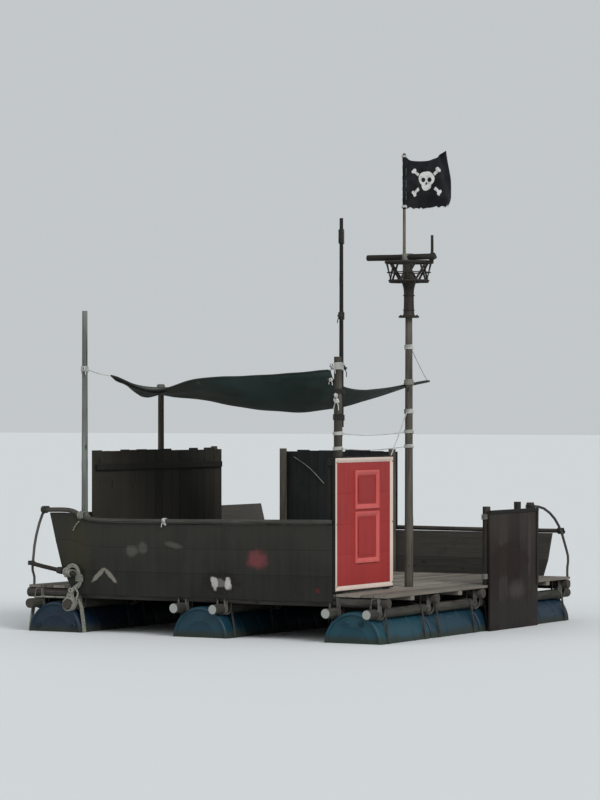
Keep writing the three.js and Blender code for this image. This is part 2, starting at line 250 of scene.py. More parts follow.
def plank(a: Point, b: Point, wide: Point, width: float, thick: float, seed: int, ease: float = 0.002,
          wear: float = 0.0012) -> Patch:
    """A sawn board: an eased rectangle from a to b, its edges straying by two slow waves of size wear.

    Args:
        a, b: Middles of its ends.
        wide: Direction of its width.
        width, thick: Its width and thickness.
        seed: Picks its waves, tone and grain.
        ease: Size of the cant at each corner.
        wear: How far edges stray.

    Returns:
        The patch, closed at both ends.
    """
    rng = np.random.default_rng(seed)
    reach = np.array(b, float) - np.array(a, float)
    length, axis = np.linalg.norm(reach), unit(reach)
    w = unit(np.array(wide, float) - axis * np.dot(wide, axis))
    x, y, e = width / 2, thick / 2, min(ease, thick / 3)
    across = vec(-x + e, -x / 3, x / 3, x - e, x, x, x - e, x / 3, -x / 3, -x + e, -x, -x)
    up = vec(-y, -y, -y, -y, -y + e, y - e, y, y, y, y, y - e, -y + e)
    t = np.linspace(0, 1, max(6, int(length / 0.16)))
    stray = wear * np.abs(
        np.sin(t[:, None] * rng.uniform(3, 9) + rng.uniform(0, 6, 12))
        + 0.6 * np.sin(t[:, None] * rng.uniform(11, 19) + rng.uniform(0, 6, 12)))
    across, up = across - stray * np.sign(across), up - stray * 0.4 * np.sign(up)
    grid = between((a, b), t)[:, None] + across[..., None] * w + up[..., None] * np.cross(axis, w)
    grain = np.stack([np.broadcast_to((t * length + seed * 2.3)[:, None], across.shape), across, up], -1)
    return weave(grid, (False, True), grain=grain, caps=True, tone=float(rng.uniform(0, 1)))


def slab(lower: Array, upper: Array, y: float, thick: float, tone: float, seed: int) -> Patch:
    """An upright sheet between two lines that share their X run, with 2 mm cants on its long edges.

    Args:
        lower, upper: Bottom and top line, as many rows of x, z each.
        y, thick: Its front plane and its thickness.
        tone: A number from 0 to 1 for its finish.
        seed: Shifts its grain.

    Returns:
        The patch, closed all round.
    """
    e, share = 0.002, vec(0, 0, 1, 1, 1, 1, 0, 0)
    deep = y + vec(e, 0, 0, e, thick - e, thick, thick, thick - e)
    x = lower[:, :1] * (1 - share) + upper[:, :1] * share
    z = lower[:, 1:] * (1 - share) + upper[:, 1:] * share + vec(0, e, -e, 0, 0, -e, e, 0)
    grid = np.stack([x, np.broadcast_to(deep, x.shape), z], -1)[::-1]
    grain = np.stack([grid[..., 0] + seed * 1.7, grid[..., 2], grid[..., 1]], -1)
    return weave(grid, (False, True), grain=grain, caps=True, tone=tone)


def lathe(profile: Points, centre: Point, axis: int, sides: int, tone: float = 0.5, way: int = 1) -> Patch:
    """A turned shape: each profile row of radius and distance along the axis becomes a ring.

    Args:
        profile: Rows of radius and distance, the distance rising where the outside faces out.
        centre: The place of distance nought on the axis.
        axis: 0, 1 or 2, for X, Y or Z.
        sides: Points in a ring.
        tone: A number from 0 to 1 for its finish.
        way: 1 along the axis or -1 against it.

    Returns:
        The patch, with caps on the first and last ring.
    """
    rows, angle = (np.array(profile) * vec(1, way))[::way], turn(sides)
    grid = np.zeros((len(rows), sides, 3))
    grid[..., axis] = rows[:, 1:]
    grid[..., (axis + 1) % 3] = rows[:, :1] * np.cos(angle)
    grid[..., (axis + 2) % 3] = rows[:, :1] * np.sin(angle)
    return weave(grid + np.array(centre, float), (False, True), caps=True, tone=tone)


def piece(name: str, patches: Sequence[Patch], finish: str, replaces: str = "",
          crease: float = 38.0, ends: str = "") -> bpy.types.Object:
    """Puts patches into one mesh object that rides on the raft.

    Args:
        name: The piece's name.
        patches: What it is made of.
        finish: Its finish.
        replaces: The CAD node that it stands for.
        crease: Edges sharper than this many degrees stay sharp.
        ends: The finish of its end caps, where that is another one.

    Returns:
        The object, at the origin.
    """
    faces, uvs, cap_faces, start = [], [], [], 0
    for p in patches:
        faces += (p.quads + start).tolist()
        uvs.append(p.uv.reshape(-1, 2))
        for cap in p.caps:
            cap_faces.append(len(faces))
            faces.append((cap + start).tolist())
            uvs.append(p.grain[cap][:, 1:] * 3)
        start += len(p.points)
    mesh = bpy.data.meshes.new(name)
    mesh.from_pydata(np.vstack([p.points for p in patches]).tolist(), [], faces)
    mesh.uv_layers.new(name="surface").uv.foreach_set("vector", np.vstack(uvs).astype(np.float32).ravel())
    grain = np.vstack([p.grain for p in patches])
    tones = np.concatenate([np.full(len(p.points), p.tone) for p in patches])
    for label, kind, key, values in (("grain", "FLOAT_VECTOR", "vector", grain),
                                     ("tone", "FLOAT", "value", tones)):
        layer = mesh.attributes.new(label, kind, "POINT")
        layer.data.foreach_set(key, values.astype(np.float32).ravel())
    mesh.materials.append(PAINT[finish])
    if ends:
        mesh.materials.append(PAINT[ends])
        which = np.zeros(len(faces), np.int32)
        which[cap_faces] = 1
        mesh.polygons.foreach_set("material_index", which)
    mesh.shade_smooth()
    mesh.set_sharp_from_angle(angle=math.radians(crease))
    made = bpy.data.objects.new(name, mesh)
    bpy.context.scene.collection.objects.link(made)
    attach(made, "root")
    if replaces:
        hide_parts(replaces)
    LOG.info("%s: %d faces in %d patches", name, len(faces), len(patches))
    return made


def studs(profile: Points, places: Iterable[Point], axis: int, sides: int = 8, way: int = 1) -> list[Patch]:
    """The same turned head at each place."""
    return [lathe(profile, place, axis, sides, way=way) for place in places]


# Shaders


def math_node(operation: str, turned: bool = False) -> Callable[..., "Wire"]:
    """A method that adds a Math node of its wire and the other value, the other first where turned."""

    def method(wire: "Wire", *other: Value) -> "Wire":
        """Adds the node."""
        values = (*other, wire) if turned else (wire, *other)
        return wire.graph.node("ShaderNodeMath", {"operation": operation}, dict(enumerate(values)))

    return method


@dataclass
class Wire:
    """A shader socket that takes part in Python expressions."""

    graph: "Graph"
    socket: bpy.types.NodeSocket | None

    __add__ = __radd__ = math_node("ADD")
    __mul__ = __rmul__ = math_node("MULTIPLY")
    __sub__ = math_node("SUBTRACT")
    __rsub__ = math_node("SUBTRACT", True)
    __truediv__ = math_node("DIVIDE")
    __abs__ = math_node("ABSOLUTE")
    high = math_node("MAXIMUM")
    sine = math_node("SINE")
    root = math_node("SQRT")

    def step(self, start: float, end: float) -> "Wire":
        """Rises smoothly from 0 at start to 1 at end, or falls where end is below start."""
        low, high, foot, top = (start, end, 0.0, 1.0) if start < end else (end, start, 1.0, 0.0)
        inputs = {"Value": self, "From Min": low, "From Max": high, "To Min": foot, "To Max": top}
        return self.graph.node("ShaderNodeMapRange", {"interpolation_type": "SMOOTHSTEP"}, inputs)


class Graph:
    """A material and the few moves that every finish uses."""

    def __init__(self, name: str) -> None:
        """Starts an empty material of this name."""
        self.material = bpy.data.materials.new(name)
        self.material.use_nodes = True
        self.tree = self.material.node_tree
        self.tree.nodes.clear()

    def node(self, kind: str, settings: dict | None = None, inputs: dict | None = None,
             out: int | str = 0) -> Wire:
        """Adds a node.

        Args:
            kind: The node's type.
            settings: Its own settings, and under "stops" a ramp's stops of place and colour.
            inputs: Values or wires by socket name or number.
            out: Which output the wire is.

        Returns:
            The chosen output.
        """
        made = self.tree.nodes.new(kind)
        for key, value in (settings or {}).items():
            if key == "stops":
                ramp = made.color_ramp.elements
                for i, (place, colour) in enumerate(value):
                    stop = ramp[i] if i < 2 else ramp.new(place)
                    stop.position, stop.color = place, (*colour, 1)
            else:
                setattr(made, key, value)
        for key, value in (inputs or {}).items():
            socket = made.inputs[key]
            if isinstance(value, Wire):
                self.tree.links.new(value.socket, socket)
            else:
                socket.default_value = (*value, 1) if socket.type == "RGBA" else value
        return Wire(self, made.outputs[out] if made.outputs else None)

    @cached_property
    def place(self) -> Wire:
        """Object coordinates."""
        return self.node("ShaderNodeTexCoord", out="Object")

    @cached_property
    def grain(self) -> Wire:
        """The place in the wood's grain, its X along the fibre."""
        return self.node("ShaderNodeAttribute", {"attribute_name": "grain"}, out="Vector")

    @cached_property
    def tone(self) -> Wire:
        """A number from 0 to 1 for each patch."""
        return self.node("ShaderNodeAttribute", {"attribute_name": "tone"}, out="Fac")

    @cached_property
    def uv(self) -> list[Wire]:
        """U along the piece in metres, and V across or round it."""
        return self.axes(self.node("ShaderNodeUVMap", {"uv_map": "surface"}))[:2]

    def axes(self, vector: Wire) -> list[Wire]:
        """The X, Y and Z of a vector."""
        split = self.node("ShaderNodeSeparateXYZ", inputs={0: vector})
        return [Wire(self, out) for out in split.socket.node.outputs]

    def noise(self, vector: Wire, scale: float | Point, detail: float, rough: float, bend: float = 0.0,
              shift: Point = (0, 0, 0)) -> Wire:
        """A noise value about one half.

        Args:
            vector: The coordinates.
            scale: One scale, or one for each axis through a Mapping node.
            detail: How many finer layers it has.
            rough: How strong the finer layers are.
            bend: How far it is distorted.
            shift: Where a mapped noise begins.

        Returns:
            The noise.
        """
        if not isinstance(scale, float):
            mapping = {"Vector": vector, "Location": shift, "Scale": scale}
            vector, scale = self.node("ShaderNodeMapping", inputs=mapping), 1.0
        inputs = {"Vector": vector, "Scale": scale, "Detail": detail, "Roughness": rough, "Distortion": bend}
        return self.node("ShaderNodeTexNoise", inputs=inputs)

    def mix(self, share: Value, a: Value, b: Value) -> Wire:
        """Colour a turning into b as share goes from 0 to 1."""
        return self.node("ShaderNodeMix", {"data_type": "RGBA"}, {"Factor": share, 6: a, 7: b}, out=2)

    def surface(self, colour: Value, rough: Value, shine: float,
                relief: tuple[Wire, float, float] | None = None, **others: Value) -> bpy.types.Material:
        """Ends the graph in the main shader.

        Args:
            colour: Base colour.
            rough: Roughness.
            shine: Specular level.
            relief: Height, its depth in metres and its strength, for the bumped normal.
            **others: Values for other sockets, their names with underscores for spaces.

        Returns:
            The material.
        """
        inputs = {"Base Color": colour, "Roughness": rough, "Specular IOR Level": shine}
        inputs |= {name.replace("_", " "): value for name, value in others.items()}
        if relief:
            bump = dict(zip(("Height", "Distance", "Strength"), relief))
            inputs["Normal"] = self.node("ShaderNodeBump", inputs=bump)
        shader = self.node("ShaderNodeBsdfPrincipled", inputs=inputs)
        self.node("ShaderNodeOutputMaterial", inputs={"Surface": shader})
        return self.material


def shade(colour: Point, by: float, add: float = 0.0) -> Point:
    """A colour times one number, plus another."""
    return tuple(c * by + add for c in colour)


def either(*masks: Wire) -> Wire:
    """A mask of what lies in any of the masks."""
    return reduce(Wire.high, masks)


# Finishes


@dataclass(frozen=True)
class RoundTimber:
    """Peeled and weathered round timber: fibre streaks, cracks, dark knots and grey patches."""

    name: str
    dark: Point
    middle: Point
    pale: Point
    low_darkening: float = 0.0

    def build(self) -> bpy.types.Material:
        """Streaks run along the grain attribute, and some timbers darken below a height of about 0.6 m, under
        the deck.
        """
        g = Graph(self.name)
        fibre = g.noise(g.grain, (3, 95, 95), 5, 0.65, 0.3)
        patch = g.noise(g.grain, (2.2, 9, 9), 4, 0.6)
        knots = g.noise(g.grain, (9, 26, 26), 2, 0.4).step(0.66, 0.74)
        crack = g.noise(g.grain, (1.4, 70, 70), 3, 0.5, shift=(4, 2, 7)).step(0.665, 0.7)
        stops = ((0.3, self.dark), (0.7, self.pale), (0.48, self.middle))
        level = fibre * 0.55 + patch * 0.45 + (g.tone - 0.5) * 0.16
        colour = g.node("ShaderNodeValToRGB", {"stops": stops}, {0: level})
        colour = g.mix(knots * 0.75, colour, shade(self.dark, 0.35))
        colour = g.mix(crack * 0.8, colour, shade(self.dark, 0.3))
        # Darker below about 0.6 m, under the deck.
        if self.low_darkening:
            low_dark = (g.axes(g.place)[2] + (patch - 0.5) * 0.12).step(0.66, 0.52) * self.low_darkening
            colour = g.mix(low_dark, colour, (0.018, 0.021, 0.015))
        height = fibre * 0.5 + patch * 0.5 - crack * 0.9 - knots * 0.3
        return g.surface(colour, 0.76 + fibre * 0.2, 0.22, (height, 0.003, 0.8))


@dataclass(frozen=True)
class EndGrain:
    """Sawn pole ends: year rings about the heart."""

    name: str
    early: Point
    late: Point

    def build(self) -> bpy.types.Material:
        """Rings are a sine of the distance from the heart, bent by a noise."""
        g = Graph(self.name)
        _, y, z = g.axes(g.grain)
        spot = g.noise(g.grain, (1, 60, 60), 4, 0.6)
        reach = (y * y + z * z).root() + (spot - 0.5) * 0.006
        rings = (reach * 1500.0).sine() * 0.5 + 0.5
        colour = g.mix(rings * 0.55 + spot * 0.3, self.early, self.late)
        return g.surface(colour, 0.88, 0.25, (rings * 0.4 + spot, 0.0012, 0.7))


@dataclass(frozen=True)
class SawnBoard:
    """Bare sawn board, each board in its own tone, with fibre, knots and stains."""

    name: str
    dark: Point
    pale: Point
    stain: Point
    rough: float = 0.8
    contrast: float = 1.0

    def build(self) -> bpy.types.Material:
        """Fibre follows the grain attribute, and stains follow Object coordinates."""
        g = Graph(self.name)
        fibre = g.noise(g.grain, (2.2, 60, 60), 6, 0.62, 0.5)
        fine = g.noise(g.grain, (14, 420, 420), 2, 0.5)
        cloud = g.noise(g.place, 3.1, 5, 0.6)
        knot = g.noise(g.grain, (5, 17, 17), 1, 0.3, shift=(3, 1, 2)).step(0.7, 0.75)
        level = ((fibre - 0.5) * 1.1 + (g.tone - 0.5) * 0.75) * self.contrast + cloud * 0.4 + 0.3
        colour = g.mix(level, self.dark, self.pale)
        colour = g.mix(cloud.step(0.52, 0.72) * 0.7, colour, self.stain)
        colour = g.mix(knot * 0.7, colour, shade(self.dark, 0.35))
        height = fibre * 0.7 + fine * 0.3 - knot * 0.2
        return g.surface(colour, self.rough + (fibre - 0.5) * 0.25, 0.2, (height, 0.0022, 0.7))


@dataclass(frozen=True)
class Mark:
    """A painted or scuffed place on a board: middle, half size and turn in its plane, and colour."""

    middle: Point
    size: Point
    colour: Point
    strength: float = 0.8
    turn: float = 0.0
    soft: float = 0.2

    def mask(self, across: Wire, up: Wire, ragged: Wire) -> Wire:
        """A ragged oval: 1 inside, 0 outside, its edge pushed about by a noise, less where it is softer.

        Args:
            across, up: Coordinates along and up the panel.
            ragged: A noise value about one half.

        Returns:
            The mask.
        """
        c, s = math.cos(self.turn), math.sin(self.turn)
        dx, dy = across - self.middle[0], up - self.middle[1]
        x, y = (dx * c + dy * s) / self.size[0], (dy * c - dx * s) / self.size[1]
        reach = (x * x + y * y).root() + (ragged - 0.5) * (1.9 - 2 * self.soft)
        return reach.step(0.9 + self.soft, 0.9 - self.soft)


class Plane(Enum):
    """Which Object axes run across a panel, up it and out of it."""

    XZ = (0, 2, 1)
    YZ = (1, 2, 0)


@dataclass(frozen=True)
class PaintedBoard:
    """Painted board: brushed paint that grows lighter upwards, chips that bare the wood, and marks on its
    outer face.

    The marks begin and end where the coordinate out of the panel passes the two values of outer.
    """

    name: str
    paint: Point
    faded: Point
    wood: Point
    chips: float
    gloss: float
    plane: Plane
    lighter_upwards: Point | None = None
    marks: tuple[Mark, ...] = ()
    streaks: float = 0.35
    shine: float = 0.25
    outer: Point = (0.0, 0.0)

    def build(self) -> bpy.types.Material:
        """Paint is worn through where a noise along the grain passes chips, and a mark is a ragged oval."""
        g = Graph(self.name)
        axes = g.axes(g.place)
        across, up, out = (axes[k] for k in self.plane.value)
        fibre = g.noise(g.grain, (2.5, 80, 80), 5, 0.6, 0.4)
        cloud = g.noise(g.place, 2.3, 6, 0.62)
        ragged = g.noise(g.place, 17.0, 5, 0.65)
        run = g.noise(g.place, (26, 26, 1.5), 3, 0.5)
        share = (cloud - 0.5) * 1.3 + (g.tone - 0.5) * 0.9 + (run - 0.5) * self.streaks * 2 + 0.45
        # Lighter towards the top, between the two heights given.
        if self.lighter_upwards:
            share = share + up.step(*self.lighter_upwards) * 0.6
        colour = g.mix(share, self.paint, self.faded)
        face = out.step(*self.outer) if self.marks else None
        for mark in self.marks:
            colour = g.mix(mark.mask(across, up, ragged) * face * mark.strength, colour, mark.colour)
        chip = (ragged * 0.45 + fibre * 0.35 + cloud * 0.2).step(self.chips, self.chips + 0.02)
        colour = g.mix(chip, colour, g.mix(fibre, shade(self.wood, 0.45), self.wood))
        height = fibre * 0.4 + ragged * 0.15 - chip * 0.5
        rough = self.gloss + chip * 0.3 + (cloud - 0.5) * 0.2
        return g.surface(colour, rough, self.shine, (height, 0.0016, 0.6))


@dataclass(frozen=True)
class DrumPlastic:
    """Moulded drum plastic: a duller, greyer top, scuffs along the drum, mud and weed at the waterline.

    The tone attribute leads from one colour to the other: partly the drums' different batches, partly painted
    shade on the drums that lie in shade.
    """

    name: str
    navy: Point
    teal: Point
    dull: Point

    def build(self) -> bpy.types.Material:
        """The dull colour rises with Z, and mud falls away above the waterline."""
        g = Graph(self.name)
        up = g.axes(g.place)[2]
        cloud = g.noise(g.place, 4.0, 5, 0.6)
        scuff = g.noise(g.place, (34, 3.5, 34), 4, 0.7)
        grit = g.noise(g.place, 160.0, 3, 0.6)
        # Duller and greyer towards the top of the drum.
        dull = up.step(0.36, 0.62) * 0.42 + (cloud - 0.5) * 0.9
        colour = g.mix(dull, g.mix(g.tone, self.navy, self.teal), self.dull)
        colour = g.mix(scuff.step(0.62, 0.7) * 0.4, colour, shade(self.dull, 1.7, 0.03))
        mud = (up + (cloud - 0.5) * 0.11).step(0.385, 0.315)
        colour = g.mix(mud * 0.82, colour, (0.02, 0.024, 0.013))
        height = grit * 0.25 + scuff * 0.35 + mud * grit * 0.6
        return g.surface(colour, 0.4 + scuff * 0.2 + mud * 0.25, 0.3, (height, 0.0009, 0.6))


@dataclass(frozen=True)
class LaidRope:
    """Three-strand rope: slanting strands by U along it and V round it, with fuzz, grime, and painted shade
    in the grooves between the strands.
    """

    name: str
    pale: Point
    grime: Point
    pitch: float = 0.03

    def build(self) -> bpy.types.Material:
        """A strand is a sine of U over the pitch plus three times V."""
        g = Graph(self.name)
        u, v = g.uv
        twist = ((u / self.pitch + v * 3.0) * (2 * math.pi)).sine()
        fuzz = g.noise(g.place, 420.0, 3, 0.6)
        colour = g.mix(g.noise(g.place, 9.0, 4, 0.6).step(0.4, 0.72), self.pale, self.grime)
        # Painted shade: the grooves between the strands are darkened.
        colour = g.mix(twist.step(-0.2, -0.95) * 0.6, colour, shade(self.grime, 0.4))
        return g.surface(colour, 0.9, 0.2, (twist * 0.6 + fuzz * 0.3, 0.0022, 0.9))


@dataclass(frozen=True)
class Tarpaulin:
    """Coated cloth: a fine weave by UV, creases, dull bleached folds, grime, a lighter brown to the left, and
    a lighter band near X = 0.3 that is painted highlight.
    """

    name: str
    deep: Point
    bleached: Point
    grime: Point
    stain: Point = (0.034, 0.036, 0.022)

    def build(self) -> bpy.types.Material:
        """The weave is the product of two sines of UV in metres, and creases are thin ridges in a noise."""
        g = Graph(self.name)
        u, v = g.uv
        threads = (u * 2400.0).sine() * (v * 2400.0).sine()
        cloud = g.noise(g.place, 2.6, 6, 0.6)
        ridge = abs(g.noise(g.place, 5.5, 3, 0.5, 0.8) - 0.5).step(0.035, 0.0)
        grit = g.noise(g.place, 46.0, 4, 0.6)
        side = g.axes(g.place)[0] + (cloud - 0.5) * 0.8
        colour = g.mix(cloud.step(0.34, 0.72), self.deep, self.bleached)
        # Lighter brown towards the left side of the cloth.
        colour = g.mix(side.step(0.25, -0.45) * 0.8, colour, self.stain)
        # Painted highlight: a lighter band across the cloth near X = 0.3.
        colour = g.mix(abs(side - 0.3).step(0.24, 0.04) * 0.6, colour, shade(self.bleached, 1.15))
        colour = g.mix(ridge * 0.4, colour, self.bleached)
        colour = g.mix(grit.step(0.55, 0.75) * 0.4, colour, self.grime)
        height = threads * 0.12 + ridge * 0.5 + cloud * 0.5
        return g.surface(colour, 0.55 + cloud * 0.2, 0.25, (height, 0.004, 0.6), Sheen_Weight=0.05)


@dataclass(frozen=True)
class FlagCloth:
    """Black flag cloth with a plain white skull over crossed bones, faded and a little soiled."""

    name: str
    width: float
    height: float
    lean: float = 0.72
    half: float = 0.16

    def build(self) -> bpy.types.Material:
        """The figure is a union of ovals and bars in UV metres, less two eyes and a nose.

        Each bone is a bar that leans to one side, with two round knobs at either end.
        """
        g = Graph(self.name)
        u, v = g.uv
        ragged = g.noise(g.place, 22.0, 5, 0.6)
        x, y = (u - self.width * 0.44) / 1.02, (v - self.height * 0.5) / 1.02
        wobble = (ragged - 0.5) * 0.012

        def oval(cx: float, cy: float, rx: float, ry: float) -> Wire:
            """Mask of an oval."""
            a, b = (x - cx) / rx, (y - cy) / ry
            return ((a * a + b * b).root() + wobble * 8).step(1.06, 0.96)

        def bar(angle: float) -> Wire:
            """Mask of a slanting bar through the figure's middle."""
            c, s, rise = math.cos(angle), math.sin(angle), y - 0.004
            length = (abs(x * c + rise * s) + wobble).step(self.half + 0.004, self.half - 0.004)
            return length * (abs(rise * c - x * s) + wobble).step(0.0165, 0.0105)

        skull = either(oval(0, 0.034, 0.074, 0.072), oval(0, -0.036, 0.043, 0.042))
        eyes = [oval(side * 0.029, 0.02, 0.019, 0.022) for side in (-1, 1)]
        holes = either(*eyes, oval(0, -0.014, 0.008, 0.013))
        far_x, far_y = self.half * math.cos(self.lean), self.half * math.sin(self.lean)
        knobs = [oval(sx * (far_x + dx), 0.004 + sy * (far_y + dy), 0.017, 0.017)
                 for sx in (-1, 1) for sy in (-1, 1) for dx, dy in ((0.013, -0.006), (-0.004, 0.014))]
        bones = either(bar(self.lean), bar(-self.lean), *knobs)
        figure = (skull * (1 - holes)).high(bones * (1 - oval(0, 0.006, 0.09, 0.112)))
        threads = (u * 3600.0).sine() * (v * 3600.0).sine()
        cloud = g.noise(g.place, 7.0, 5, 0.6)
        cloth = g.mix(cloud.step(0.35, 0.8), (0.004, 0.004, 0.005), (0.016, 0.016, 0.019))
        ink = g.mix(ragged.step(0.42, 0.75), (0.58, 0.58, 0.56), (0.25, 0.25, 0.245))
        relief = (threads * 0.2 + cloud * 0.3, 0.002, 0.6)
        return g.surface(g.mix(figure * 0.9, cloth, ink), 0.85, 0.15, relief, Sheen_Weight=0.03)


@dataclass(frozen=True)
class Iron:
    """Rusty iron for nails, bolts and rings."""

    name: str
    clean: Point = (0.16, 0.15, 0.14)
    rust: Point = (0.11, 0.035, 0.012)

    def build(self) -> bpy.types.Material:
        """Rust grows where a noise is high, and takes the metal's shine."""
        g = Graph(self.name)
        spots = g.noise(g.place, 90.0, 5, 0.65)
        rust = spots.step(0.38, 0.62)
        colour = g.mix(rust, self.clean, self.rust)
        return g.surface(colour, 0.45 + rust * 0.4, 0.5, (spots, 0.0008, 0.8), Metallic=1 - rust)


# Light, floor and camera


@dataclass(frozen=True)
class Studio:
    """A pale floor at the height of the waterline, soft daylight, and a camera at the photograph's place.

    Pixels are counted in the photograph, and the view is narrowed round the pixel aim.
    """

    eye: Point = (14.9338, -26.229, 2.31)
    turn: float = 30.5
    focal: float = 3250.0
    height: float = 800.0
    sensor: float = 36.0
    aim: Point = (314.5, 325.0)
    photo_focal: float = 1120.0
    photo_middle: Point = (300.0, 328.0)
    reach: float = 200.0
    suns: Sequence[tuple] = (
        ("key", (0.8, -0.42, 0.62), 2.1, 24.0), ("fill", (-0.55, -0.8, 0.55), 0.462, 40.0))

    def add(self, name: str, data: bpy.types.ID) -> bpy.types.Object:
        """Puts camera, lamp or mesh data into the scene as an object."""
        made = bpy.data.objects.new(name, data)
        bpy.context.scene.collection.objects.link(made)
        return made

    def camera(self) -> None:
        """Makes the camera, which looks through the pixel aim."""
        data = bpy.data.cameras.new("view")
        data.sensor_fit = "VERTICAL"
        data.sensor_height = self.sensor
        data.lens = self.focal * self.sensor / self.height
        data.clip_end = 2 * self.reach
        camera = self.add("view", data)
        camera.location = self.eye
        yaw, pitch = (math.atan((p - q) / self.photo_focal) for p, q in zip(self.photo_middle, self.aim))
        camera.rotation_euler = (math.pi / 2 + pitch, 0.0, math.radians(self.turn) + yaw)
        bpy.context.scene.camera = camera

    def floor(self) -> None:
        """Makes the floor."""
        g = Graph("pale_floor")
        tint = g.mix(g.noise(g.place, 0.7, 3, 0.5), (0.64, 0.656, 0.662), (0.648, 0.664, 0.669))
        side = np.linspace(-self.reach, self.reach, 13)
        x, y = np.meshgrid(side, side, indexing="ij")
        flat = weave(np.stack([x, y, np.full_like(x, WATERLINE)], -1))
        mesh = bpy.data.meshes.new("floor")
        mesh.from_pydata(flat.points.tolist(), [], flat.quads[:, ::-1].tolist())
        mesh.materials.append(g.surface(tint, 0.75, 0.1))
        self.add("floor", mesh)

    def build(self) -> None:
        """Makes camera, floor, sky and two soft suns."""
        self.camera()
        self.floor()
        world = bpy.data.worlds.new("sky")
        world.use_nodes = True
        back = next(n for n in world.node_tree.nodes if n.type == "BACKGROUND")
        back.inputs["Color"].default_value = (0.78, 0.82, 0.84, 1)
        back.inputs["Strength"].default_value = 0.7
        bpy.context.scene.world = world
        for name, toward, strength, spread in self.suns:
            light = bpy.data.lights.new(name, "SUN")
            light.energy, light.angle = strength, math.radians(spread)
            x, y, z = unit(np.array(toward))
            self.add(name, light).rotation_euler = (math.acos(z), 0.0, math.atan2(y, x) + math.pi / 2)
        bpy.context.scene.view_settings.view_transform = "Standard"
        LOG.info("studio ready")


# The raft's finishes

PALE_MARK, BROWN_MARK, SCUFF = (0.19, 0.175, 0.15), (0.08, 0.076, 0.064), (0.45, 0.42, 0.41)
HULL_MARKS = (
    Mark((-1.075, 0.822), (0.095, 0.022), PALE_MARK, 0.85, 0.75),
    Mark((-0.945, 0.82), (0.095, 0.022), PALE_MARK, 0.85, -0.75),
    Mark((-0.72, 1.045), (0.065, 0.05), BROWN_MARK, 0.7, 0.0, 0.4),
    Mark((-0.6, 1.075), (0.05, 0.05), BROWN_MARK, 0.6, 0.0, 0.4),
    Mark((-0.28, 1.105), (0.1, 0.028), BROWN_MARK, 0.6, -0.2, 0.4),
    Mark((0.21, 0.79), (0.19, 0.115), (0.008, 0.007, 0.007), 0.6),
    Mark((0.205, 0.782), (0.085, 0.04), SCUFF, 0.22),
    Mark((0.14, 0.782), (0.036, 0.06), SCUFF, 0.72, 0.2),
    Mark((0.272, 0.776), (0.034, 0.064), SCUFF, 0.78, -0.22),
    Mark((0.292, 0.756), (0.03, 0.034), SCUFF, 0.5),
    Mark((0.12, 0.812), (0.022, 0.03), SCUFF, 0.35),
    Mark((0.575, 1.0), (0.105, 0.085), (0.13, 0.036, 0.04), 0.9, 0.0, 0.45),
    Mark((1.18, 0.745), (0.028, 0.026), (0.075, 0.012, 0.013)),
    Mark((-1.3, 1.05), (0.15, 0.34), (0.03, 0.029, 0.016), 0.55))
SIDE_MARKS = (
    Mark((0.62, 0.64), (0.17, 0.095), (0.07, 0.058, 0.053), 0.5, 0.0, 0.6),
    Mark((0.9, 1.02), (0.035, 0.34), (0.045, 0.037, 0.033), 0.5),
    Mark((0.45, 0.93), (0.42, 0.17), (0.016, 0.008, 0.007)),
    Mark((0.55, 0.44), (0.62, 0.16), (0.02, 0.0175, 0.015), 0.9))
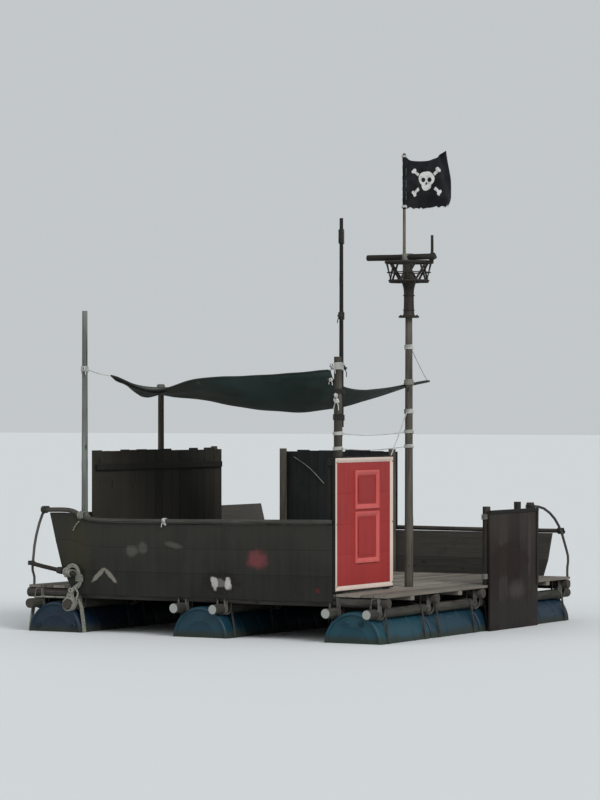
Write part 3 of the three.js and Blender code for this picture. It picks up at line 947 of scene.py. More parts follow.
FINISHES = (
    RoundTimber("pole_timber", (0.013, 0.012, 0.01), (0.04, 0.036, 0.031), (0.105, 0.096, 0.084), 0.5),
    RoundTimber("rail_timber", (0.016, 0.0155, 0.013), (0.038, 0.036, 0.03), (0.085, 0.08, 0.068)),
    RoundTimber("grey_timber", (0.05, 0.052, 0.047), (0.11, 0.116, 0.105), (0.2, 0.21, 0.195)),
    RoundTimber("post_timber", (0.016, 0.0135, 0.011), (0.046, 0.04, 0.032), (0.105, 0.094, 0.078)),
    RoundTimber("staff_timber", (0.045, 0.038, 0.031), (0.12, 0.1, 0.08), (0.23, 0.2, 0.165)),
    RoundTimber("dark_timber", (0.006, 0.0055, 0.005), (0.015, 0.0135, 0.0115), (0.038, 0.034, 0.029)),
    EndGrain("pole_end", (0.33, 0.345, 0.325), (0.2, 0.205, 0.19)),
    EndGrain("dark_end", (0.06, 0.052, 0.042), (0.03, 0.025, 0.02)),
    SawnBoard("deck_timber", (0.07, 0.062, 0.051), (0.25, 0.225, 0.19), (0.09, 0.08, 0.07)),
    SawnBoard("wall_timber", (0.006, 0.006, 0.0045), (0.03, 0.026, 0.019), (0.016, 0.017, 0.011), 0.75, 1.2),
    SawnBoard("back_wall_timber", (0.005, 0.006, 0.006), (0.018, 0.022, 0.022), (0.017, 0.013, 0.014), 0.75,
              1.2),
    SawnBoard("grey_board_timber", (0.018, 0.017, 0.0145), (0.064, 0.06, 0.052), (0.026, 0.0245, 0.022),
              0.82),
    SawnBoard("slat_timber", (0.012, 0.01, 0.009), (0.042, 0.037, 0.031), (0.018, 0.016, 0.014)),
    SawnBoard("trim_timber", (0.005, 0.005, 0.0045), (0.016, 0.0145, 0.0125), (0.01, 0.009, 0.008), 0.7),
    SawnBoard("cane_timber", (0.028, 0.028, 0.025), (0.09, 0.088, 0.08), (0.038, 0.037, 0.034), 0.7),
    PaintedBoard("hull_paint", (0.012, 0.0115, 0.0095), (0.0255, 0.0245, 0.0202), (0.09, 0.08, 0.064), 0.69,
                 0.6, Plane.XZ, (0.9, 1.25), HULL_MARKS, 0.5, 0.14, (-1.852, -1.862)),
    PaintedBoard("side_paint", (0.011, 0.0075, 0.0062), (0.03, 0.025, 0.0215), (0.08, 0.065, 0.053), 0.67,
                 0.65, Plane.YZ, (0.9, 1.35), SIDE_MARKS, 0.4, 0.1, (1.852, 1.858)),
    PaintedBoard("sign_red_paint", (0.235, 0.014, 0.013), (0.335, 0.032, 0.028), (0.24, 0.14, 0.1), 0.7,
                 0.5, Plane.YZ),
    # Lighter red of the mouldings, painted highlight.
    PaintedBoard("sign_highlight_paint", (0.43, 0.062, 0.056), (0.52, 0.11, 0.1), (0.3, 0.19, 0.14), 0.71,
                 0.5, Plane.YZ),
    PaintedBoard("sign_cream_paint", (0.48, 0.37, 0.315), (0.66, 0.555, 0.485), (0.27, 0.2, 0.145), 0.665,
                 0.5, Plane.YZ),
    DrumPlastic("drum_blue", (0.004, 0.013, 0.03), (0.0035, 0.041, 0.06), (0.012, 0.038, 0.053)),
    LaidRope("pale_rope", (0.26, 0.262, 0.225), (0.13, 0.13, 0.11)),
    LaidRope("grey_rope", (0.145, 0.14, 0.122), (0.066, 0.062, 0.054)),
    LaidRope("tarred_rope", (0.06, 0.057, 0.051), (0.026, 0.024, 0.022)),
    LaidRope("dark_rope", (0.045, 0.044, 0.041), (0.02, 0.019, 0.018), 0.02),
    LaidRope("white_rope", (0.6, 0.61, 0.58), (0.34, 0.34, 0.31), 0.018),
    Tarpaulin("tarpaulin", (0.0055, 0.0165, 0.0125), (0.018, 0.04, 0.036), (0.022, 0.025, 0.02)),
    Tarpaulin("hem_tape", (0.003, 0.007, 0.0055), (0.01, 0.018, 0.015), *[(0.012, 0.012, 0.01)] * 2),
    FlagCloth("flag_cloth_print", 0.5, 0.49),
    Iron("iron"),
    Iron("dark_iron", (0.03, 0.03, 0.03), (0.026, 0.014, 0.009)))


# Rope work


@dataclass
class RopeWork:
    """Collects wraps, ties and knots of one rope, and makes them into a piece."""

    radius: float = 0.006
    patches: list[Patch] = field(default_factory=list)

    def wrap(self, centre: Point, circles: float | Points, turns: float, a: Point = X, b: Point = Y,
             slant: float = 0.0) -> None:
        """Winds the rope tightly round circles that lie in the plane of a and b, advancing along a x b.

        Args:
            centre: The wrap's middle.
            circles: One radius, or rows of place along a, place along b, and radius.
            turns: How many turns.
            a, b: Directions of the plane.
            slant: How far the turns lean along the axis.
        """
        count, spread = 26, 2.05
        rows = [(0, 0, circles)] if isinstance(circles, float) else circles
        loop = tight_loop([(x, y, r + self.radius * 0.9) for x, y, r in rows], count)
        s = np.linspace(0, turns, int(count * turns) + 1)
        places = np.arange(count + 1)
        flat = np.stack([np.interp(s % 1 * count, places, np.append(side, side[0])) for side in loop.T], 1)
        rise = (s - turns / 2) * spread * self.radius + slant * np.sin(2 * np.pi * s)
        path = np.array(centre, float) + flat[:, :1] * a + flat[:, 1:] * b + rise[:, None] * np.cross(a, b)
        self.patches.append(tube(path, self.radius, 6))

    def cross(self, centre: Point, pole: float, ceiling: float) -> None:
        """Lashes a pole along Y to one along X that lies on it, with turns on both diagonals.

        A turn is a closed curve of cosine and sine raised to the power 0.62, squarer than a circle.

        Args:
            centre: Where the two touch.
            pole: Radius of both poles.
            ceiling: The height that the rope stays under.
        """
        angle = np.linspace(0, 2 * np.pi, 33)[:-1]
        curve = np.stack([np.cos(angle), np.sin(angle)])
        bend, rise = np.sign(curve) * np.abs(curve) ** 0.62
        for way in (1, -1):
            along, across = vec(1, way, 0) / math.sqrt(2), vec(-way, 1, 0) / math.sqrt(2)
            for k in (-1, 0, 1):
                path = np.array(centre, float) + bend[:, None] * along * (1.36 * pole)
                path += (rise * (2 * pole + self.radius))[:, None] * Z + across * k * 2.1 * self.radius
                path[:, 2] = np.minimum(path[:, 2], ceiling)
                self.patches.append(tube(path, self.radius, 6, closed=True))

    def line(self, points: Array, radius: float = 0.0) -> None:
        """Lays the rope along points."""
        self.patches.append(tube(points, radius or self.radius, 6))

    def knot(self, centre: Point, size: float, seed: int) -> None:
        """A lumpy knot: three small rings that lean different ways, and two short tails.

        Args:
            centre: Its middle.
            size: Its outer radius.
            seed: Picks how the rings lean.
        """
        rng, r, centre = np.random.default_rng(seed), self.radius, np.array(centre, float)
        for _ in range(3):
            n = unit(rng.normal(size=3))
            a = unit(np.cross(n, unit(rng.normal(size=3))))
            oval = np.outer(np.cos(turn(16)), a) + 0.8 * np.outer(np.sin(turn(16)), np.cross(n, a))
            self.patches.append(tube(centre + (size - r) * oval, r * 1.15, 6, closed=True))
        for k in (-1, 1):
            end = centre + vec(k * size * 0.9, rng.uniform(-1, 0) * size * 0.4, -size * rng.uniform(1.8, 3.2))
            middle = (centre + end) / 2 + X * k * size * 0.3
            self.line(smooth_path([centre, middle, end], 8), r * 0.9)

    def make(self, name: str, finish: str, slot: str = "round_pole") -> None:
        """Makes the piece."""
        piece(name, self.patches, finish, crease=60)


# The raft's own parts

NAIL = ((0.006, -0.001), (0.006, 0.0012), (0.004, 0.0022), (0.0006, 0.0026))


def extent(node: str) -> tuple[Array, Array]:
    """Lowest and highest corner of a CAD node as arrays."""
    low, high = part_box(node)
    return np.array(low), np.array(high)


def pole(node: str, finish: str, seed: int, ends: str = "dark_end", slot: str = "round_pole",
         tip: float = 0.0, shrink: float = 1.0, bow: float = 0.002, rough: float = 0.02,
         turned: bool = False) -> None:
    """Makes the round timber that stands for a straight CAD pole along an axis.

    Args:
        node: The CAD pole.
        finish: Its finish.
        seed: Picks its waves and knots.
        ends: The finish of its ends.
        slot: Not used.
        tip: Radius at its tip, or else it is shrink times the foot's.
        shrink: The tip's radius as a share of the foot's.
        bow, rough: As for timber.
        turned: Whether its foot is at the high end.
    """
    low, high = extent(node)
    foot, axis = float(np.min(high - low)) / 2, np.argmax(high - low)
    middle, half = (low + high) / 2, (high - low) / 2 * np.eye(3)[axis]
    line = [middle + half, middle - half] if turned else [middle - half, middle + half]
    shape = timber(line, foot, tip or foot * shrink, seed, bow, rough)
    piece(node + "_round", [shape], finish, node, ends=ends)


@dataclass
class Floats:
    """Twelve drums in three rows, with bungs, a moulded ring on each end, and rope straps."""

    radius: float = 0.29
    body: float = 0.283
    length: float = 0.93
    pitch: float = 0.95
    pole: float = 0.045
    corner: float = 0.036
    bung_circle: float = 0.195
    bung_radii: Point = (0.036, 0.026)
    strap_places: Point = (-0.34, 0.34)
    bow_strap: float = -0.424
    rows: Point = (-1.53, 0.0, 1.53)
    # Tone of each drum, navy at 0 and teal at 1: partly batch colour, partly painted shade, darker on the
    # front drum of row one and on the three behind the front one in row three, which lie in shade.
    tones: Points = ((0.05, 0.3, 0.1, 0.4), (0.6, 0.2, 0.45, 0.1), (1.0, 0.5, 0.3, 0.15))
    end_profile: Points = (
        (0.002, 0.014), (0.06, 0.0135), (0.12, 0.0125), (0.15, 0.012), (0.158, 0.0095), (0.166, 0.012),
        (0.205, 0.0125), (0.236, 0.0135), (0.247, 0.012), (0.2515, 0.006), (0.254, 0.0015), (0.258, 0.0))

    def profile(self) -> Array:
        """Radius and distance along a drum: recessed ends, a rolled rim, soft shoulders and two round hoops.

        A hoop adds height * exp(-(distance / width) squared), and the shoulder is a quarter ellipse.
        """
        half, corner = self.length / 2, self.corner
        runs = ((corner - half, -0.2, 7), (-0.195, -0.115, 17), (-0.1, 0.0, 4))
        y = np.concatenate([np.linspace(*run) for run in runs])
        plain = self.body - 0.0015
        wall = plain + (self.radius - plain) * bell(-y, 0.155, 0.017) + 0.0012 * bell(-y, 0.355, 0.006)
        angle = np.linspace(0, np.pi / 2, 7)[:-1]
        shoulder = np.stack([0.266 + 0.0155 * np.sin(angle), corner * (1 - np.cos(angle)) - half], 1)
        left = np.vstack([np.array(self.end_profile) - (0, half), shoulder, np.stack([wall, y], 1)])
        return np.vstack([left, left[-2::-1] * (1, -1)])

    def bung(self, centre: Array, way: int, wide: float, tone: float) -> list[Patch]:
        """A screwed bung: a round flange with a raised cross grip.

        Args:
            centre: The middle of its foot.
            way: 1 where it looks along Y, and -1 against it.
            wide: Its radius.
            tone: The drum's tone.

        Returns:
            The flange and both bars of the grip.
        """
        flange = ((0.002, 0.0), (wide, 0.0), (wide, 0.006), (wide * 0.93, 0.009), (wide * 0.62, 0.0095),
                  (wide * 0.58, 0.005), (0.002, 0.005))
        at = centre + Y * way * 0.008
        grips = [plank(at - half, at + half, Y, 0.006, 0.007, 40 + k, 0.001, 0)
                 for k, half in enumerate((X * wide * 0.52, Z * wide * 0.52))]
        return [lathe(flange, centre, 1, 28, tone, way), *(replace(grip, tone=tone) for grip in grips)]

    def build(self) -> None:
        """Makes drums, bungs and straps."""
        front = RopeWork(0.0085)
        for row, x in enumerate(self.rows):
            bungs: list[Patch] = []
            straps = RopeWork(0.0065)
            low, high = extent(f"cradle_pole_{row + 1}_left")
            z = (low[2] + high[2]) / 2 - self.radius
            circles = [(0, 0, self.body), (-0.2, z, self.pole), (0.2, z, self.pole)]
            for i, tone in enumerate(self.tones[row]):
                middle = vec(x, (i - 1.5) * self.pitch, self.radius)
                drum, name = lathe(self.profile(), middle, 1, 64, tone), f"{row + 1}_{i + 1}"
                piece("float_" + name, [drum], "drum_blue", "drum_" + name, 30)
                way = 1 if (i + row) % 2 else -1
                lift = math.radians(20 + 31 * ((row * 4 + i) % 5))
                end = middle + vec(0, way * (self.length / 2 - 0.0125), self.bung_circle * math.sin(lift))
                for side, wide in zip((1, -1), self.bung_radii):
                    bungs += self.bung(end + X * side * self.bung_circle * math.cos(lift), way, wide, tone)
                for off in self.strap_places:
                    at_bow = (row, i) == (0, 0) and off < 0
                    rope, place, turns = (front, self.bow_strap, 3) if at_bow else (straps, off, 2)
                    rope.wrap(middle + Y * place, circles, turns, X, Z)
            piece(f"bungs_{row + 1}", bungs, "drum_blue", crease=35)
            straps.make(f"drum_ties_{row + 1}", "tarred_rope")
        front.make("bow_drum_tie", "pale_rope")


@dataclass
class PoleFrame:
    """Cradle poles on the drum rows and cross poles over them, lashed where they cross."""

    radius: float = 0.045
    ceiling: float = 0.69

    def build(self) -> None:
        """Makes the poles and their lashings."""
        rows = [f"cradle_pole_{row}_{side}" for row in (1, 2, 3) for side in ("left", "right")]
        crosses = [f"cross_pole_{k}" for k in range(1, 6)]
        for k, node in enumerate(rows + crosses):
            ends = "pole_end" if node in rows[2:] else "dark_end"
            pole(node, "pole_timber", 100 + k, ends, shrink=0.97, turned=k % 2 == 1)
        for row in (0, 2, 4):
            rope = RopeWork(0.006)
            for node in rows[row:row + 2]:
                low, high = extent(node)
                for over in crosses:
                    y = sum(extent(over))[1] / 2
                    middle = (low[0] + high[0]) / 2
                    rope.cross((middle, y, high[2]), self.radius, self.ceiling - rope.radius)
            rope.make(f"frame_lashings_{row // 2 + 1}", "grey_rope")


@dataclass
class Deck:
    """Boards side by side on battens, with nail heads."""

    half: float = 1.845
    sections: int = 4
    boards: int = 7
    seam: float = 0.006
    thick: float = 0.024
    battens: Point = (-1.36, -0.45, 0.45, 1.36)
    nail: Points = ((0.0045, -0.002), (0.0045, 0.0004), (0.003, 0.0011), (0.0005, 0.0014))

    def build(self) -> None:
        """Makes the four sections and their nails."""
        top = extent("deck_section_1")[1][2]
        width = 2 * self.half / self.sections
        pitch = width / self.boards
        rng = np.random.default_rng(7)
        heads = []
        for s in range(self.sections):
            left, patches = -self.half + s * width, []
            for b in range(self.boards):
                at, short = vec(left + (b + 0.5) * pitch, 0, top - self.thick / 2), rng.uniform(0, 0.012, 2)
                ends = at - Y * (self.half - short[0]), at + Y * (self.half - short[1])
                patches.append(plank(*ends, X, pitch - self.seam, 0.0236, 300 + s * 10 + b, 0.003, 0.0008))
                heads += [vec(at[0] + side * pitch + rng.uniform(-0.004, 0.004),
                              y + rng.uniform(-0.012, 0.012), top - 0.0003)
                          for y in self.battens for side in (-0.28, 0.28)]
            for k, y in enumerate(self.battens):
                at = vec(left, y, top - self.thick - 0.019)
                ends = at + X * 0.009, at + X * (width - 0.009)
                patches.append(plank(*ends, Y, 0.07, 0.037, 400 + s * 10 + k, 0.003, 0.0008))
            piece(f"deck_boards_{s + 1}", patches, "deck_timber", f"deck_section_{s + 1}")
        piece("deck_nails", studs(self.nail, heads, 2), "iron", crease=60)


@dataclass
class Hull:
    """Front and back panels, the bow board, both rails and the bow bar."""

    face: float = 1.846
    thick: float = 0.022
    bottom: float = 0.645
    right: float = 1.324
    rail: float = 0.022
    top: float = 1.371
    stem: Points = ((-1.335, 0.645), (-1.462, 0.87), (-1.535, 1.13), (-1.596, 1.371))
    sheer: Points = (
        (-1.665, 1.397), (-1.37, 1.394), (-1.15, 1.318), (-0.6, 1.311), (0.6, 1.326), (1.32, 1.336))
    strakes: Point = (0.0, 0.335, 0.668, 1.0)
    back_ends: Points = ((1.53, 0.645), (1.601, 0.875), (1.645, 1.125))
    bow_levels: Point = (0.7175, 0.872, 1.035, 1.195, 1.361)
    bar: Points = ((-1.805, 0.915), (-1.29, 0.82))
    front_nails: Point = (0.7, 0.83, 0.93, 1.05, 1.15, 1.26)
    back_nails: Point = (0.69, 0.83, 0.92, 1.08)

    def stem_x(self, z: float) -> float:
        """X of the stem's outer edge at a height."""
        x, height = np.array(self.stem).T
        return float(np.interp(z, height, x))

    def sheer_path(self, count: int) -> Array:
        """The front rail's centre line."""
        return smooth_path([(x, -self.face - self.rail, z) for x, z in self.sheer], count)

    def edge(self, share: float) -> Array:
        """The strake edge at a share of the height from bottom to rail, from the stem to the right end.

        Where the edge meets the stem depends on its height there, so the two are found in turn six times.

        Args:
            share: 0 at the bottom and 1 at the rail.

        Returns:
            Rows of x, z.
        """
        rail = self.sheer_path(300)
        z = np.full(60, self.bottom + 0.5)
        for _ in range(6):
            left = self.stem_x(z[0] if share < 1 else self.top)
            x = left + (self.right - left) * np.linspace(0, 1, 60)
            top = np.interp(x, rail[:, 0], rail[:, 2]) - self.rail - 0.0035
            z = self.bottom + (top - self.bottom) * share
        return np.stack([x, z], 1)

    def front(self) -> list[Patch]:
        """Three strakes under the sheer."""
        edges = [self.edge(share) for share in self.strakes]
        return [slab(edges[k], edges[k + 1], -self.face - self.thick, self.thick, tone, 20 + k)
                for k, tone in enumerate((0.35, 0.6, 0.45))]

    def back(self) -> list[Patch]:
        """Two strakes between the stem and the raked right end."""
        share = np.linspace(0, 1, 30)
        edges = [between(((self.stem_x(z), z), (right, z)), share) for right, z in self.back_ends]
        return [slab(edges[k], edges[k + 1], self.face, self.thick, 0.3 + 0.4 * k, 30 + k) for k in (0, 1)]

    def bow(self) -> list[Patch]:
        """Raked boards across the bow, one over the other, that follow the stem."""
        edges = [vec(self.stem_x(z) + 0.015, 0, z) for z in self.bow_levels]
        half = Y * (self.face - 0.001)
        pairs = [((a + b) / 2, b - a) for a, b in zip(edges, edges[1:])]
        return [plank(at - half, at + half, up, float(np.linalg.norm(up)), 0.0236, 60 + k, 0.003, 0)
                for k, (at, up) in enumerate(pairs)]

    def build(self) -> None:
        """Makes the panels, rails and bar."""
        piece("front_strakes", self.front(), "hull_paint", "front_panel")
        piece("back_strakes", self.back(), "grey_board_timber", "back_panel")
        piece("bow_boards", self.bow(), "grey_board_timber", "bow_board")
        rail = timber(self.sheer_path(120), self.rail, self.rail * 0.96, 71, 0.0)
        piece("front_rail_round", [rail], "rail_timber", "front_rail", ends="dark_end")
        pole("back_rail", "post_timber", 72, shrink=0.92, bow=0.003, rough=0.03)
        face = self.face + self.thick
        bar = timber([(x, -face - 0.0203, z) for x, z in self.bar], 0.02, 0.0195, 73, 0.002)
        piece("bow_bar_round", [bar], "dark_timber", "bow_bar", ends="dark_end")
        front = [(x, -face, z) for x in np.arange(-1.2, 1.31, 0.36) for z in self.front_nails]
        back = [(x, face, z) for x in np.arange(-1.2, 1.5, 0.45) for z in self.back_nails]
        nails = studs(NAIL, front, 1, way=-1) + studs(NAIL, back, 1)
        piece("hull_nails", nails, "dark_iron", crease=60)


@dataclass
class Posts:
    """All standing poles, the topmast and the flag staff."""

    groups: Sequence[tuple] = (
        ("grey_timber", "pole_end", "round_pole", (("left_pole", 0.024),)),
        ("post_timber", "dark_end", "round_pole", (
            ("mast", 0.036), ("nest_pole", 0.03), ("canopy_pole", 0.028))),
        ("post_timber", "dark_end", "post", (
            ("left_rear_post", 0.032), ("back_left_post", 0), ("back_middle_post", 0), ("side_post_near", 0),
            ("side_post_far", 0))),
        ("dark_timber", "dark_end", "post", (
            ("sign_post_front", 0), ("sign_post_rear", 0), ("back_right_post", 0.034))),
        ("dark_timber", "dark_end", "dark_pole", (("topmast", 0.016),)),
        ("staff_timber", "dark_end", "dark_pole", (("flag_staff", 0.011),)))

    def build(self) -> None:
        """Makes each pole with its CAD node's taper, or none where its tip is nought."""
        seeds = iter(range(500, 520))
        for finish, ends, slot, nodes in self.groups:
            for node, tip in nodes:
                pole(node, finish, next(seeds), ends, slot, tip)


@dataclass
class Walls:
    """Upright boards of the shelter's left and back walls, and the side panel that hangs to the waterline.

    A row of plates says: wall, axis that its boards follow each other on, seed, board width, slack, finish
    and slot. A row of cross pieces says: wall, axis that they run along, which side of the wall, gap from it
    to their middle, how far their ends stay back, levels, width, thickness and first seed.
    """

    plates: Sequence[tuple] = (
        ("left_wall", 1, 81, 0.145, 0.02, "wall_timber", "wall_board"),
        ("back_wall", 0, 82, 0.145, 0.02, "back_wall_timber", "wall_board"),
        ("side_panel", 1, 83, 0.2, 0.0, "side_paint", "side_board"))
    cross: Sequence[tuple] = (
        ("side_panel", 1, 0, -0.014, 0.09, (1.02, 1.3), 0.06, 0.026, 840),
        ("left_wall", 1, 1, 0.0125, 0.03, (0.95, 1.78), 0.055, 0.024, 850),
        ("back_wall", 0, 1, 0.0115, 0.03, (1.27, 1.8), 0.055, 0.022, 860))

    def upright(self, node: str, along: int, seed: int, width: float, slack: float) -> list[Patch]:
        """Fills a CAD plate's box with upright boards of uneven width and top.

        Args:
            node: The CAD plate.
            along: The axis that the boards follow each other on.
            seed: Picks widths and tops.
            width: The mean board width.
            slack: How far a board's top may fall short.

        Returns:
            One patch for each board.
        """
        low, high = extent(node)
        rng = np.random.default_rng(seed)
        count = max(2, round((high[along] - low[along]) / width))
        cuts = np.linspace(low[along], high[along], count + 1)
        cuts[1:-1] += rng.uniform(-0.2, 0.2, count - 1) * width
        wide, thick = np.eye(3)[along], high[1 - along] - low[1 - along] - 0.0006
        patches = []
        for k, (start, end) in enumerate(zip(cuts, cuts[1:])):
            foot = (low + high) / 2
            foot[along], foot[2] = (start + end) / 2, low[2]
            tip = foot + Z * (high[2] - rng.uniform(0, slack) - low[2])
            patches.append(plank(foot, tip, wide, end - start, thick, seed * 10 + k, 0.003, 0.0))
        return patches

    def build(self) -> None:
        """Makes the three plates, their cross battens and nails."""
        for node, along, seed, width, slack, finish, slot in self.plates:
            piece(node + "_boards", self.upright(node, along, seed, width, slack), finish, node)
        battens = []
        for node, along, side, off, back, levels, width, thick, seed in self.cross:
            box = extent(node)
            for k, z in enumerate(levels):
                start, end = box[0] + back, box[1] - back
                start[1 - along] = end[1 - along] = box[side][1 - along] + off
                start[2] = end[2] = z
                battens.append(plank(start, end, Z, width, thick, seed + k))
        piece("wall_battens", battens, "wall_timber")
        low, high = extent("side_panel")
        at = X * (high[0] + 0.004)
        stile, head = at + Y * (high[1] - 0.022), at + Z * (high[2] - 0.016)
        edges = [plank(stile + Z * (low[2] + 0.42), stile + Z * (high[2] - 0.03), Y, 0.04, 0.012, 870),
                 plank(head + Y * (low[1] + 0.002), head + Y * (high[1] - 0.002), Z, 0.03, 0.014, 871)]
        piece("side_trim", edges, "trim_timber")
        across = np.arange(low[1] + 0.06, high[1] - 0.02, 0.098)
        places = [(high[0] - 0.0005, y, z) for z in (1.02, 1.3) for y in across]
        piece("side_nails", studs(NAIL, places, 0), "dark_iron", crease=60)


@dataclass
class Sign:
    """Red board in a mitred cream frame with a dark rim that also paints the shadow along the frame's edge,
    and two raised fields in plain mouldings on it, whose lighter red paints their highlights.
    """

    border: float = 0.052
    rim: float = 0.012
    mould_y: Point = (-1.5, -1.07)
    mould_z: Points = ((0.965, 1.415), (1.435, 1.775))
    screw: Points = ((0.007, -0.001), (0.007, 0.0008), (0.0045, 0.0022), (0.0006, 0.0026))

    def ring(self, y: Point, z: Point, x: float, wide: float, deep: float) -> Patch:
        """A mitred frame: an eased section carried round four corners, its grain along each member.

        Each corner is doubled a little way off, so that the mitre stays crisp.

        Args:
            y, z: Outer ranges.
            x: Its back plane.
            wide, deep: Width and depth of a member.

        Returns:
            The patch, closed both ways.
        """
        inset = vec(0, 0, 0.004, 0.012, wide - 0.014, wide - 0.006, wide, wide)
        rise = vec(0, deep - 0.005, deep, deep, deep - 0.004, deep - 0.01, deep - 0.012, 0)
        rows = [np.stack([x + rise, y[k] + sy * inset, z[m] + sz * inset], 1)
                for k, m, sy, sz in ((0, 0, 1, 1), (1, 0, -1, 1), (1, 1, -1, -1), (0, 1, 1, -1))]
        sides = [np.array([a * (1 - t) + b * t for t in (0.0, 0.004, 0.5, 0.996)])
                 for a, b in zip(rows, rows[1:] + rows[:1])]
        grain = [side[..., order] for side, order in zip(sides, ([1, 2, 0], [2, 1, 0]) * 2)]
        return weave(np.vstack(sides), (True, True), grain=np.vstack(grain))

    def build(self) -> None:
        """Makes board, frame, mouldings, rim and screws."""
        low, high = extent("sign_board")
        start, end, thick = (low + high) / 2, (low + high) / 2, high[0] - low[0] - 0.0006
        start[1], end[1] = low[1], high[1]
        boards = []
        cuts = np.linspace(low[2], high[2], 5)
        for k, (a, b) in enumerate(zip(cuts, cuts[1:])):
            start[2] = end[2] = (a + b) / 2
            boards.append(plank(start, end, Z, b - a, thick, 900 + k, 0.0018, 0.0))
        piece("sign_boards", boards, "sign_red_paint", "sign_board")
        (back, y0, z0), (front, y1, z1) = extent("sign_frame")
        inner = self.rim + 0.0002
        wide = self.border - inner
        border = self.ring((y0 + inner, y1 - inner), (z0 + inner, z1 - inner), back, wide, 0.0298)
        piece("sign_border", [border], "sign_cream_paint", "sign_frame", 25)
        # The mouldings are a lighter red, painted highlight.
        mouldings = [self.ring(self.mould_y, z, high[0] - 0.0005, 0.044, 0.015) for z in self.mould_z]
        piece("sign_mouldings", mouldings, "sign_highlight_paint", crease=25)
        left, right = self.mould_y
        at, wide = vec(high[0] + 0.002, (left + right) / 2, 0), right - left - 0.14
        fields = [plank(at + Z * (a + 0.07), at + Z * (b - 0.07), Y, wide, 0.006, 905 + k, 0.0025, 0.0)
                  for k, (a, b) in enumerate(self.mould_z)]
        piece("sign_fields", fields, "sign_red_paint", crease=25)
        # The rim is dark wood that also paints the shadow along the frame's edges.
        at, half = X * (back + 0.0125), self.rim / 2
        lines = [(910 + k, vec(0, y, z0 + 0.001), vec(0, y, z1 - 0.001))
                 for k, y in enumerate((y0 + half, y1 - half))]
        lines += [(914 + k, vec(0, y0 + 0.013, z), vec(0, y1 - 0.013, z))
                  for k, z in enumerate((z0 + half, z1 - half))]
        rims = [plank(at + a, at + b, X, 0.024, self.rim, seed, 0.002, 0.0) for seed, a, b in lines]
        piece("sign_rim", rims, "trim_timber", crease=25)
        heights = (z0 + 0.05, (z0 + z1) / 2, z1 - 0.05)
        places = [(front - 0.0003, y, z) for y in (y0 + 0.026, y1 - 0.026) for z in heights]
        piece("sign_screws", studs(self.screw, places, 0, 10), "iron", crease=60)


@dataclass
class CrowsNest:
    """Basket of crossed slats, its socket, and the yard with its peg."""

    x: float = 1.335
    y: float = -0.48
    foot: float = 3.436
    brim: float = 3.622
    foot_radius: float = 0.18
    brim_radius: float = 0.205
    pairs: int = 8
    lean: float = 0.72
    hoops: Points = ((0.205, 3.622, 0.0135), (0.176, 3.456, 0.009), (0.193, 3.53, 0.005))
    yard_end: float = 1.63
    peg: Point = (3.6, 3.855)
    bolt: Points = ((0.009, -0.001), (0.009, 0.006), (0.0065, 0.0085), (0.001, 0.009))
    flange: Points = (
        (0.0326, 0.0002), (0.09, 0.0002), (0.092, 0.003), (0.092, 0.015), (0.089, 0.018), (0.056, 0.022))

    def about(self, radius: float, angle: float | Array, z: float) -> Array:
        """Places round the nest's axis at an angle, a radius and a height."""
        return np.stack([self.x + radius * np.cos(angle), self.y + radius * np.sin(angle), z + 0 * angle], -1)

    def hoop(self, radius: float, z: float, thick: float, sides: int = 10) -> Patch:
        """A level ring round the nest's axis."""
        return tube(self.about(radius, turn(48), z), thick, sides, closed=True)

    def slats(self) -> list[Patch]:
        """Pairs of crossed slats, each from a place round the foot to one on the brim further round."""
        made = []
        for k, a in enumerate(turn(self.pairs)):
            for way in (-1, 1):
                b = a + way * self.lean * (2 * np.pi / self.pairs)
                foot = self.about(self.foot_radius - 0.006, a, self.foot + 0.012)
                tip = self.about(self.brim_radius - 0.004, b, self.brim)
                out = vec(math.cos((a + b) / 2), math.sin((a + b) / 2), 0)
                wide, off, seed = np.cross(unit(tip - foot), out), out * 0.003 * way, 1000 + 2 * k + way
                made.append(plank(foot + off, tip + off, wide, 0.022, 0.006, seed, 0.001, 0.0003))
        return made

    def floor(self) -> list[Patch]:
        """Boards cut to the foot's circle, the middle one in two beside the pole."""
        made = []
        for k, off in enumerate(np.arange(-0.15, 0.151, 0.043)):
            reach = math.sqrt(max(self.foot_radius**2 - (abs(off) + 0.02) ** 2, 0)) - 0.003
            at = vec(self.x, self.y + off, self.foot + 0.008)
            spans = ((-reach, -0.034), (0.034, reach)) if abs(off) < 0.03 else ((-reach, reach),)
            made += [plank(at + X * p, at + X * q, Y, 0.04, 0.0155, 1100 + 3 * k + s)
                     for s, (p, q) in enumerate(spans)]
        return made

    def build(self) -> None:
        """Makes basket, socket and yard."""
        hoops = [self.hoop(*hoop) for hoop in self.hoops]
        piece("nest_basket", self.slats() + hoops + self.floor(), "slat_timber", "crows_nest")
        z, top = (corner[2] for corner in extent("nest_socket"))
        t = np.linspace(0, 1, 14)
        body = np.stack([0.049 - 0.004 * np.sin(np.pi * t) + 0.065 * np.clip(t - 0.8, 0, 1),
                         z + 0.034 + (top - 0.001 - z - 0.034) * t], 1)
        flange = vec(0, z) + self.flange
        socket = lathe(np.vstack([flange, body, (0.0318, top - 0.001)]), (self.x, self.y, 0), 2, 40)
        socket.caps = []
        bands = [self.hoop(0.0495, z + off, 0.0045, 8) for off in (0.07, 0.2)]
        bolts = studs(self.bolt, self.about(0.074, turn(6) + 0.3, z + 0.018), 2, 6)
        piece("nest_sleeve", [socket, *bands, *bolts], "dark_iron", "nest_socket")
        low, _ = extent("nest_yard")
        y, z, end = low[1] + 0.028, self.brim + 0.0426, self.yard_end
        yard = timber([(low[0], y, z), (end, y, z)], 0.028, 0.0275, 1200, 0.001, 0.05)
        peg = timber([(end - 0.03, y, level) for level in self.peg], 0.0138, 0.0125, 1201, 0.0, 0.02, 14)
        piece("nest_yard_round", [yard, peg], "dark_timber", "nest_yard", ends="dark_end")


